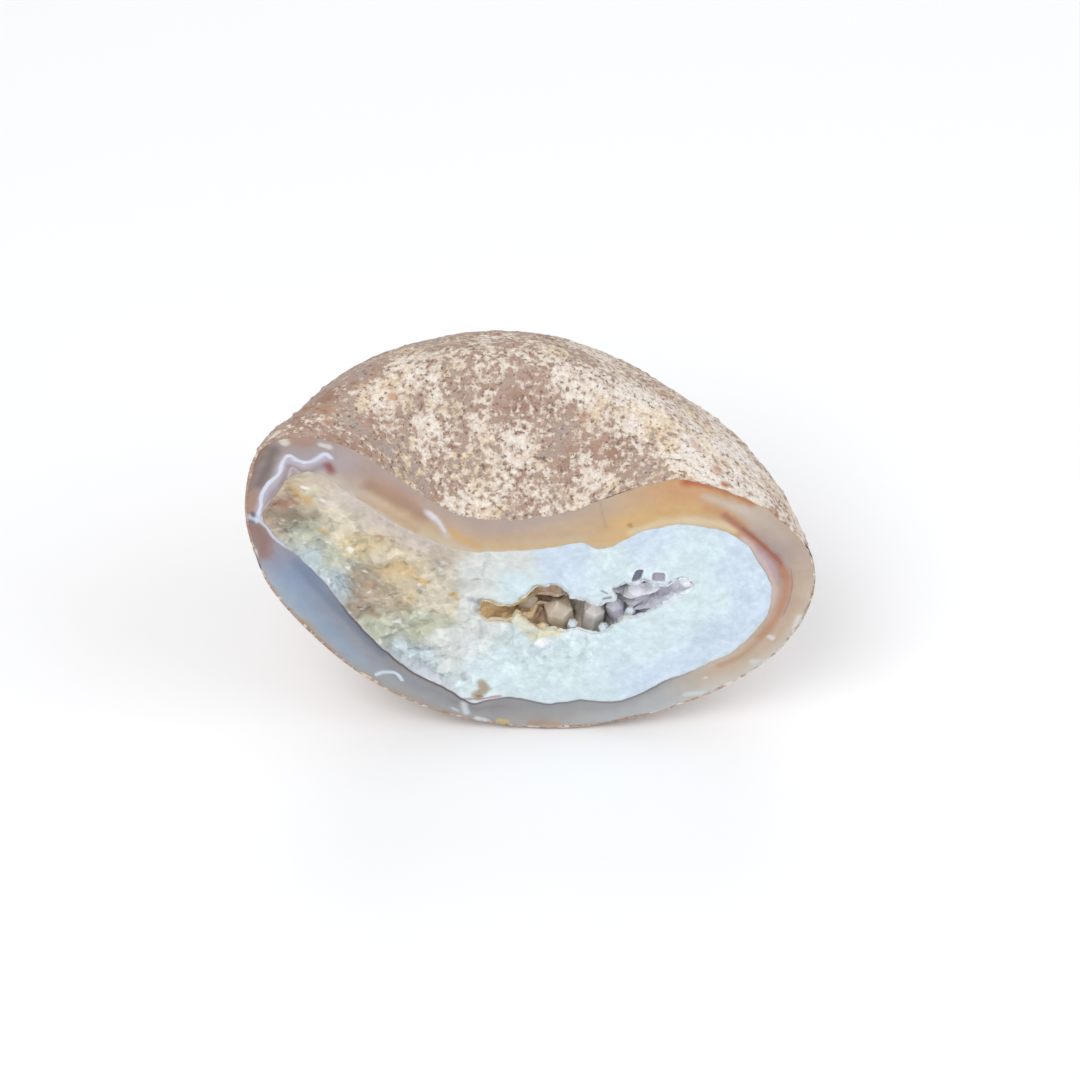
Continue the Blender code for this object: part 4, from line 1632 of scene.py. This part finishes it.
    # Stains, grains and cracks that lie on the quartz, with painted glints and lines of painted shade
    # between crystals, in the order they are laid.
    marks: tuple[Mark, ...] = (
        Mark("#CBBFB5", 7.0, ((-36.0, 63.5), (-30.5, 59.0), (-23.5, 54.5), (-18.0, 51.0)), 0.6, 1.0),
        Mark("#8C7F68", 3.6, ((-51.0, 58.5), (-47.5, 58.0), (-43.5, 57.5), (-41.5, 58.8)), 0.75, 0.9),
        Mark("#908C78", 3.6, ((-47.0, 55.6), (-44.6, 54.6), (-42.6, 54.0)), 0.55, 1.0),
        Mark("#A67C68", 3.4, ((-49.8, 61.0), (-47.2, 60.4)), 0.8, 0.9),
        Mark("#9E6E4E", 1.4, ((-46.4, 61.8), (-45.2, 61.0)), 0.8),
        Mark("#C69E5C", 3.4, ((-46.0, 64.6), (-44.2, 62.8), (-42.8, 61.4)), 0.75, 1.0),
        Mark("#B8935A", 2.2, ((-41.0, 54.4), (-39.8, 53.6)), 0.7, 0.9),
        Mark("#D6B88C", 4.8, ((-30.0, 43.4), (-27.0, 44.2), (-24.0, 43.2), (-22.2, 41.0)), 0.7, 1.0),
        Mark("#E3DAC4", 4.8, ((-30.5, 47.4), (-26.0, 47.6), (-23.0, 46.8)), 0.8, 1.0),
        Mark("#DDB258", 1.1, ((-21.8, 41.8), (-21.0, 40.8)), 0.9),
        Mark("#DDB667", 1.0, ((-24.2, 36.8), (-23.6, 36.3)), 0.9),
        Mark("#D6B878", 1.8, ((-15.8, 38.0), (-15.0, 36.4)), 0.8),
        Mark("#B08870", 1.5, ((-29.8, 52.6), (-29.2, 52.2)), 0.8),
        Mark("#A68C72", 3.6, ((-35.0, 39.0), (-34.0, 36.4)), 0.65, 1.0),
        Mark("#B08A68", 2.2, ((-32.8, 39.6), (-31.2, 38.8)), 0.75, 0.9),
        Mark("#A58C60", 2.0, ((-32.4, 31.6), (-30.6, 30.8)), 0.8, 0.9),
        Mark("#E0D8C2", 3.0, ((-19.6, 36.8), (-17.4, 33.6)), 0.8, 0.7),
        Mark("#B9BBA2", 5.4, ((-23.0, 27.0), (-20.0, 29.0), (-17.0, 31.0)), 0.7, 0.8),
        Mark("#B7CAD8", 2.6, ((-48.5, 49.8), (-45.0, 46.0), (-42.4, 41.2), (-39.4, 36.2), (-36.0, 31.0),
                              (-31.0, 23.4)), 0.7, 1.0),
        Mark("#C8CBD2", 3.0, ((-30.0, 21.5), (-22.0, 16.4), (-16.0, 11.6)), 0.7, 1.0),
        Mark("#A9AFB0", 2.0, ((-14.2, 15.4), (-13.8, 14.4)), 0.75, 0.7),
        Mark("#A48F6C", 3.2, ((-10.6, 13.2), (-10.0, 11.4), (-11.4, 9.8)), 0.85, 0.7),
        Mark("#6E5848", 0.7, ((-11.4, 9.6), (-10.4, 9.5)), 0.8),
        Mark("#A5827A", 0.8, ((-14.6, 8.9), (-11.0, 8.9), (-6.8, 9.7)), 0.8),
        Mark("#8B8F99", 0.6, ((-12.0, 41.0), (-10.6, 41.5)), 0.6),
        Mark("#A29CA8", 2.2, ((-12.2, 36.0), (-11.0, 35.2)), 0.7, 0.8),
        Mark("#8E8266", 0.7, ((-28.3, 36.8), (-26.3, 37.9)), 0.8),
        Mark("#8A8F96", 0.6, ((-13.6, 29.8), (-12.6, 31.0)), 0.6),
        # A grey line down a crevice left of the vug: painted shade.
        Mark("#A4AAB0", 0.9, ((-10.7, 30.6), (-10.3, 28.0), (-10.8, 25.2)), 0.5, 0.9),
        # Painted glints: small near-white specks on the rough quartz, painted highlights.
        Mark("#EFEEE4", 1.4, ((-35.6, 49.8), (-35.0, 48.8)), 0.8),
        Mark("#F4F3EE", 0.9, ((-33.2, 43.2), (-32.6, 42.6)), 0.9),
        Mark("#F2EEE2", 0.9, ((-43.8, 65.6), (-42.8, 65.2)), 0.9),
        Mark("#F2EEE6", 1.1, ((-40.6, 62.2), (-40.0, 61.8)), 0.8),
        Mark("#E8EEF2", 2.6, ((-14.6, 21.0), (-12.4, 27.0), (-13.2, 15.0)), 0.6, 1.0),
        Mark("#DDDBC2", 4.6, ((-3.2, 31.6), (-1.6, 28.8), (-0.2, 26.2)), 0.8, 0.7),
        Mark("#E3DBB4", 3.6, ((1.2, 26.4), (3.2, 27.0), (4.8, 27.0)), 0.8, 0.7),
        Mark("#DCC888", 1.4, ((-3.5, 33.2), (-2.6, 32.2)), 0.8, 0.9),
        # A grey line between crystals under the vug: painted shade.
        Mark("#B9BBA8", 0.8, ((0.9, 27.6), (0.5, 25.2), (-0.6, 23.6)), 0.6, 1.0),
        Mark("#F7F8F7", 2.6, ((1.3, 24.0), (2.7, 24.9)), 0.85, 0.6),
        Mark("#EAF2F4", 2.4, ((5.9, 27.0), (6.9, 27.4)), 0.7, 0.8),
        Mark("#E8F1F4", 3.0, ((8.2, 27.2), (9.8, 27.2)), 0.7, 0.8),
        Mark("#EDF4F7", 1.8, ((11.2, 25.3), (12.2, 24.2)), 0.5, 1.0),
        # Grey lines between crystals under the vug: painted shade.
        Mark("#B4C2C8", 0.8, ((7.6, 26.8), (7.2, 24.6)), 0.5, 1.0),
        Mark("#B8C8D0", 0.8, ((10.4, 26.4), (10.6, 23.6)), 0.5, 1.0),
        Mark("#B8BFBE", 0.9, ((-4.4, 29.8), (-4.0, 26.6), (-5.4, 24.0)), 0.5, 1.0),
        Mark("#DED2A4", 0.8, ((-9.0, 30.4), (-5.2, 30.2)), 0.8),
        Mark("#A08550", 0.5, ((-5.0, 30.2), (-4.4, 30.1)), 0.9),
        Mark("#DCDCC0", 1.2, ((17.8, 31.0), (19.4, 31.4)), 0.7),
        Mark("#6F748A", 1.3, ((13.8, 36.6), (15.0, 36.9)), 0.8, 0.8),
        Mark("#7C8198", 0.6, ((13.4, 38.7), (14.4, 38.0)), 0.7),
    )
    # Small open pockets beside the vug, each painted dark inside as painted shade.
    pockets: tuple[Pocket, ...] = (
        Pocket((20.3, 42.5), 0.85, 1.75, 0.3, 0.9, "#7E8198"),
        Pocket((24.4, 42.0), 1.3, 1.3, 0.0, 0.7, "#ABA6B6"),
        Pocket((30.0, 39.9), 0.9, 0.8, 0.2, 0.5, "#BAB4BE"),
    )

    def build(self, material: bpy.types.Material) -> bpy.types.Object:
        """Build the lining.

        Args:
            material: The lining's finish.

        Returns:
            The piece.
        """
        shares = np.linspace(0.0, 1.0, self.back_rows)
        back = self.form.sections(shares, self.seam, np.full((self.back_rows, 1), 0.05), True)
        lip = self.lip()
        flat = relaxed_rows(back[0][:, (0, 2)], lip.points, self.face_rows)
        face = np.stack((flat[..., 0], np.full(flat.shape[:2], FACE_Y), flat[..., 1]), axis=2)
        bowl = self.bowl(lip, np.linspace(0.0, 1.0, self.bowl_rows))
        piece, row = rolled_grid("quartz_lining_sawn", np.concatenate((back[::-1], face, bowl)))
        self.carve(piece, row, lip)
        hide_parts("quartz_lining")
        dress(piece, material, Grade.FACETED)
        return piece

    def lip(self) -> Outline:
        """Return the mouth's edge, starting at its left end and as ragged as broken crystal."""
        corners = np.array(self.mouth)[::-1]
        corners = np.roll(corners, -int(np.argmin(corners[:, 0])), axis=0)
        count = self.form.columns
        even = Outline(corners).evenly(4 * len(corners))
        jag = 0.28 * soft_noise(even.points, 0.9, 131)
        ragged = Outline(even.points + even.inward() * jag[:, None]).evenly(count)
        return Outline(np.roll(ragged.points, -int(ragged.points[:, 0].argmin()), axis=0))

    def bowl(self, lip: Outline, shares: np.ndarray) -> np.ndarray:
        """Return the vug's rows, from its mouth to its back.

        Args:
            lip: The mouth's edge.
            shares: How far each row lies from the mouth, from 0 to 1.

        Returns:
            Places in millimetres, by row and column.
        """
        middle = np.array(self.bowl_middle)
        rows = []
        for share in shares:
            turn = 0.5 * math.pi * share
            flat = middle + math.cos(turn) ** 0.55 * (lip.points - middle)
            sink = self.bowl_sink * float(ease(2.0 * share))
            depth = np.interp(flat[:, 0], *np.array(self.bowl_depths).T)
            deep = FACE_Y + depth * math.sin(turn)
            rows.append(np.stack((flat[:, 0], deep, flat[:, 1] - sink), axis=1))
        return np.stack(rows)

    def carve(self, piece: bpy.types.Object, row: np.ndarray, lip: Outline) -> None:
        """Break the sawn quartz into grains, crowd the vug with crystal faces, and tint both.

        Args:
            piece: The lining.
            row: Each vertex's row.
            lip: The mouth's edge.
        """
        places = mesh_places(piece)
        grain = self.grain(places, row, lip)
        normals = mesh_normals(piece)
        first_bowl = self.back_rows + self.face_rows
        relief = self.face_relief(grain)
        on_edge = row == first_bowl
        places[grain.on_face, 1] += relief[grain.on_face]
        places[on_edge, 1] += relief[on_edge]
        growth = crystal_tips(places, self.growth_mm, 0.75, 241, 7)
        drusy = crystal_tips(places, self.drusy_mm, 0.7, 251, 7)
        bulge = np.clip(1.5 + growth.height, 0.0, 3.4) + 0.4 * np.clip(0.5 + drusy.height, 0.0, 1.4)
        bulge *= ease(grain.behind / 7.0) * (0.3 + 0.7 * ease(grain.flat[:, 0], -6.0, 2.0))
        room = np.interp(grain.flat[:, 0], *np.array(self.bowl_rooms).T)
        bulge = np.minimum(bulge, np.minimum(0.4 * room, 0.7 * (places[:, 1] - FACE_Y)))
        inner = row > first_bowl
        places[inner] += (normals * bulge[:, None])[inner]
        places[:, 1] = np.maximum(places[:, 1], FACE_Y)
        set_places(piece, places)
        colour = self.stain_bowl(self.face_colour(grain), grain, growth, drusy)
        set_values(piece, "tint", colour)
        set_values(piece, "rough", np.where(row >= first_bowl, 0.75, grain.rough))

    def grain(self, places: np.ndarray, row: np.ndarray, lip: Outline) -> Grain:
        """Work out the grains, and where the rough and the clear quartz lie.

        Args:
            places: The lining's vertices in millimetres.
            row: Each vertex's row.
            lip: The mouth's edge.

        Returns:
            What the shaping and the tinting share.
        """
        flat = places[:, (0, 2)].copy()
        warp = np.stack([layered_noise(flat, 7.0, seed, 3) for seed in (201, 202)], axis=1)
        rough = 1.0 - ease(flat[:, 0] + 7.0 * warp[:, 0], *self.rough_span)
        upper_band = ease(flat[:, 1] + 0.62 * flat[:, 0], 30.0, 40.0)
        rough = rough * (1.0 - 0.65 * (upper_band * (1.0 - ease(flat[:, 0], -16.0, -10.0))))
        skirt = np.linalg.norm((flat - np.array(self.skirt_middle)) / np.array(self.skirt_reach), axis=1)
        rough = np.maximum(rough, 0.5 * (1.0 - ease(skirt + 0.15 * warp[:, 1], 0.7, 1.1)))
        return Grain(
            flat=flat,
            warp=warp,
            fine=layered_noise(flat, 1.6, 205, 3),
            rough=rough,
            large=crystal_tips(flat + 0.6 * warp, self.large_mm, 0.85, 211),
            small=crystal_tips(flat + 0.3 * warp, self.small_mm, 0.8, 223),
            on_face=(row >= self.back_rows) & (row < self.back_rows + self.face_rows),
            behind=row - (self.back_rows + self.face_rows),
            seam_distance=self.seam.nearest(flat)[0],
            lip_distance=lip.nearest(flat)[0],
        )

    def face_relief(self, grain: Grain) -> np.ndarray:
        """Return how far each vertex lies behind the saw cut, in grains, a chipped lip and pockets.

        Args:
            grain: The grains, as each vertex meets them.

        Returns:
            Depths in millimetres.
        """
        relief = 0.42 * np.clip(1.3 - grain.large.height, 0.0, 3.0) * grain.rough
        relief += 0.22 * np.clip(0.45 - grain.small.height, 0.0, 1.5) * (0.4 + 0.6 * grain.rough)
        relief *= ease(grain.seam_distance, 0.2, 2.0)
        chip = (1.0 - ease(grain.lip_distance, 0.0, 1.4)) * (0.35 + 0.5 * grain.large.face)
        relief += chip * ease(grain.behind, -12, 0)
        for pocket in self.pockets:
            relief += pocket.depth * (1.0 - ease(pocket.away(grain.flat, grain.fine), 0.75, 1.1))
        return relief

    def face_colour(self, grain: Grain) -> np.ndarray:
        """Return the sawn face's colour at each vertex, as linear RGB.

        Args:
            grain: The grains, as each vertex meets them.

        Returns:
            One row of three channels for each vertex.
        """
        flat, warp, fine, rough = grain.flat, grain.warp, grain.fine, grain.rough
        clear = 1.0 - rough
        colour = self.tint(flat + 1.6 * warp)
        # Clear quartz drifts between icy and bluish.
        mix = ease(layered_noise(flat + 2.5 * warp, 5.0, 261, 4), -0.5, 0.5)[:, None] * clear[:, None]
        ice, blue = (rgb(tone.value) for tone in (Tone.ICE, Tone.PERIWINKLE))
        cold = (ice + (blue - ice) * mix) - 0.5 * (ice + blue)
        colour = colour + 0.35 * cold * ease(flat[:, 0], -8.0, 4.0)[:, None]
        # Each grain catches the light its own way, and clear quartz has veils that fan out from the vug.
        large, small = grain.large.face - 0.5, grain.small.face - 0.5
        value = 1.0 + rough * (0.24 * large + 0.2 * small + 0.08 * fine)
        spoke = flat - np.array(self.bowl_middle)
        polar = np.stack((np.arctan2(spoke[:, 1], spoke[:, 0]) * 9.0, np.hypot(*spoke.T) / 9.0), axis=1)
        streak = soft_noise(polar, 1.0, 271) + 0.6 * soft_noise(polar, 0.4, 272)
        puffs = layered_noise(flat + 0.8 * warp, 3.2, 275, 3)
        value += clear * (0.1 * small + 0.06 * large + 0.04 * fine)
        value += clear * (0.035 * streak + 0.05 * np.minimum(puffs, 0.2))
        colour = colour * value[:, None]
        # Painted glints: a few grain faces are painted near-white, as painted highlights where light would
        # catch them.
        painted_glints = crystal_tips(flat + 0.4 * warp, self.painted_glint_mm, 0.8, 281).face
        colour = overlay(colour, ease(painted_glints, 0.94, 1.0) * (0.25 + 0.35 * rough) * grain.on_face, 0.9)
        colour = paint(colour, flat, self.marks, fine)
        # Each pocket is painted dark inside, as painted shade in the hollow, with a pale ring round its
        # edge.
        for pocket in self.pockets:
            away = pocket.away(flat, fine)
            colour = overlay(colour, 1.0 - ease(away, 0.85, 1.1), rgb(pocket.colour))
            colour = overlay(colour, 0.4 * ease(away, 0.9, 1.1) * (1.0 - ease(away, 1.25, 1.6)), 0.93)
        # The lip is made whiter close to its edge, except under the vug.
        pale = (1.0 - ease(grain.lip_distance, 0.25, 0.9)) * ease(flat[:, 0], 6.0, 10.0)
        pale *= ease(flat[:, 1] - 0.32 * flat[:, 0], 27.5, 29.5) * grain.on_face
        return overlay(colour, 0.8 * pale, 0.95)

    def stain_bowl(self, colour: np.ndarray, grain: Grain, growth: Tips, drusy: Tips) -> np.ndarray:
        """Tint the vug's crystals, from iron-stained at the left to lilac-grey at the right.

        Args:
            colour: Linear RGB, one row for each vertex.
            grain: Where each vertex lies.
            growth: The large crystals.
            drusy: The small crystals on them.

        Returns:
            The colour with the vug's tints.
        """
        stops = np.array([place for place, _ in self.bowl_tints])
        palette = np.array([rgb(code) for _, code in self.bowl_tints])
        x = grain.flat[:, 0]
        tint = np.stack([np.interp(x, stops, palette[:, channel]) for channel in range(3)], axis=1)
        tint *= (0.84 + 0.26 * growth.face + 0.12 * drusy.face)[:, None]
        return overlay(colour, 0.94 * ease(grain.behind / 3.0), tint)

    def tint(self, flat: np.ndarray) -> np.ndarray:
        """Blend the tones by nearness, for each place on the face.

        Args:
            flat: X and Z of each place, in millimetres.

        Returns:
            One row of three channels for each place.
        """
        total = np.zeros((len(flat), 3))
        weights = np.zeros(len(flat))
        for place, tone in self.tones:
            away = np.sum((flat - np.array(place)) ** 2, axis=1) + 3.0
            weight = away**-2.2
            total += weight[:, None] * rgb(tone.value)
            weights += weight
        return total / weights[:, None]


@dataclass
class VugCrystals:
    """The crystals that stand in the vug, cut from the CAD solids with softened edges."""

    edge: float = 0.09
    kinds: tuple[Crystal, ...] = (
        Crystal.STAINED, Crystal.BEIGE, Crystal.STRAW, Crystal.BEIGE, Crystal.MILKY, Crystal.GREY,
        Crystal.MILKY, Crystal.LILAC, Crystal.LILAC, Crystal.MILKY, Crystal.LILAC, Crystal.BROWN,
        Crystal.STAINED, Crystal.GREY,
    )

    def build(self, finishes: dict[Crystal, bpy.types.Material]) -> None:
        """Build one piece for each CAD crystal.

        Args:
            finishes: The materials by kind.
        """
        names = sorted(name for name in frame["nodes"] if name.startswith("vug_crystal"))
        for name, kind in zip(names, self.kinds):
            source = frame["nodes"][name]
            piece = source.copy()
            piece.data = source.data.copy()
            piece.name = name.replace("vug_crystal", "quartz_point")
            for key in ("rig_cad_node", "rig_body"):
                if key in piece:
                    del piece[key]
            piece.parent = None
            bpy.context.scene.collection.objects.link(piece)
            pick(piece)
            bpy.ops.object.mode_set(mode="EDIT")
            bpy.ops.mesh.select_all(action="SELECT")
            bpy.ops.mesh.remove_doubles(threshold=0.01 * MM)
            bpy.ops.mesh.dissolve_limited(angle_limit=math.radians(1.0))
            bpy.ops.object.mode_set(mode="OBJECT")
            bevel = piece.modifiers.new("edges", "BEVEL")
            bevel.width = self.edge * MM
            bevel.segments = 2
            bpy.ops.object.modifier_apply(modifier=bevel.name)
            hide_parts(name)
            dress(piece, finishes[kind], Grade.SAWN)


def build_floor() -> None:
    """Lay a plain pale floor under the stone."""
    clear_selection()
    bpy.ops.mesh.primitive_plane_add(size=6.0)
    floor = bpy.context.active_object
    floor.name = "floor"
    material = bpy.data.materials.new("matt_white_card")
    material.use_nodes = True
    shader = material.node_tree.nodes["Principled BSDF"]
    shader.inputs["Base Color"].default_value = linear("#F9F9F9")
    shader.inputs["Roughness"].default_value = 0.9
    floor.data.materials.append(material)


def build_lights() -> None:
    """Light the stone with a wide soft sky, a large key above the front and a fill from behind."""
    world = bpy.data.worlds.new("studio")
    world.use_nodes = True
    background = world.node_tree.nodes["Background"]
    background.inputs["Color"].default_value = linear("#FBFCFF")
    background.inputs["Strength"].default_value = 0.55
    bpy.context.scene.world = world
    for name, place, size, power, colour in (
        ("key", (-0.35, -0.55, 0.85), 0.6, 5.0, "#FFFFFF"),
        ("fill", (0.7, -0.2, 0.6), 0.7, 2.4, "#F4F8FF"),
        ("back", (0.0, 0.8, 0.8), 0.8, 2.4, "#FFFFFF"),
    ):
        data = bpy.data.lights.new(name, "AREA")
        data.size = size
        data.energy = power
        data.color = linear(colour)[:3]
        lamp = bpy.data.objects.new(name, data)
        lamp.location = place
        lamp.rotation_mode = "QUATERNION"
        lamp.rotation_quaternion = Vector(place).to_track_quat("Z", "Y")
        bpy.context.scene.collection.objects.link(lamp)
    bpy.context.scene.view_settings.view_transform = "Standard"


def build_camera() -> None:
    """Set the camera in front of the sawn face and above it, looking down on the stone."""
    target = Vector((CAMERA_TARGET[0], FACE_Y * MM, CAMERA_TARGET[1]))
    away = Vector((0.0, -math.cos(CAMERA_RISE), math.sin(CAMERA_RISE)))
    data = bpy.data.cameras.new("camera")
    data.lens = CAMERA_LENS
    data.sensor_width = CAMERA_SENSOR
    camera = bpy.data.objects.new("camera", data)
    camera.location = target + CAMERA_DISTANCE * away
    camera.rotation_mode = "QUATERNION"
    camera.rotation_quaternion = (-away).to_track_quat("-Z", "Y")
    bpy.context.scene.collection.objects.link(camera)
    bpy.context.scene.camera = camera


def seam_between(form: NoduleForm) -> Outline:
    """Return the line where wall and quartz meet on the face, frayed as the grains interlock.

    Args:
        form: The stone's form.

    Returns:
        The seam, with as many points as the form has columns.
    """
    points = form.inner.points
    wave = 0.3 * layered_noise(points, 2.4, 91, 3)
    for place, radius, step in (((-49.5, 63.5), 7.0, 1.7), ((-46.0, 70.0), 4.0, 0.6)):
        away = np.linalg.norm(points - np.array(place), axis=1)
        wave += step * (1.0 - ease(away, 0.3 * radius, radius))
    return Outline(points + form.inner.inward() * wave[:, None])


def main() -> None:
    """Build the geode half and its setting."""
    logging.basicConfig(level=logging.INFO, format="%(message)s")
    build_camera()
    build_lights()
    build_floor()
    form = NoduleForm()
    seam = seam_between(form)
    rind = Rind(form)
    rind.build(WeatheredRind().build())
    ChalcedonyWall(form, seam, rind.thickness + 0.1).build(PolishedChalcedony().build())
    QuartzLining(form, seam).build(MassiveQuartz().build())
    VugCrystals().build({kind: QuartzCrystal(*kind.value).build() for kind in Crystal})


if __name__ == "__main__":
    main()
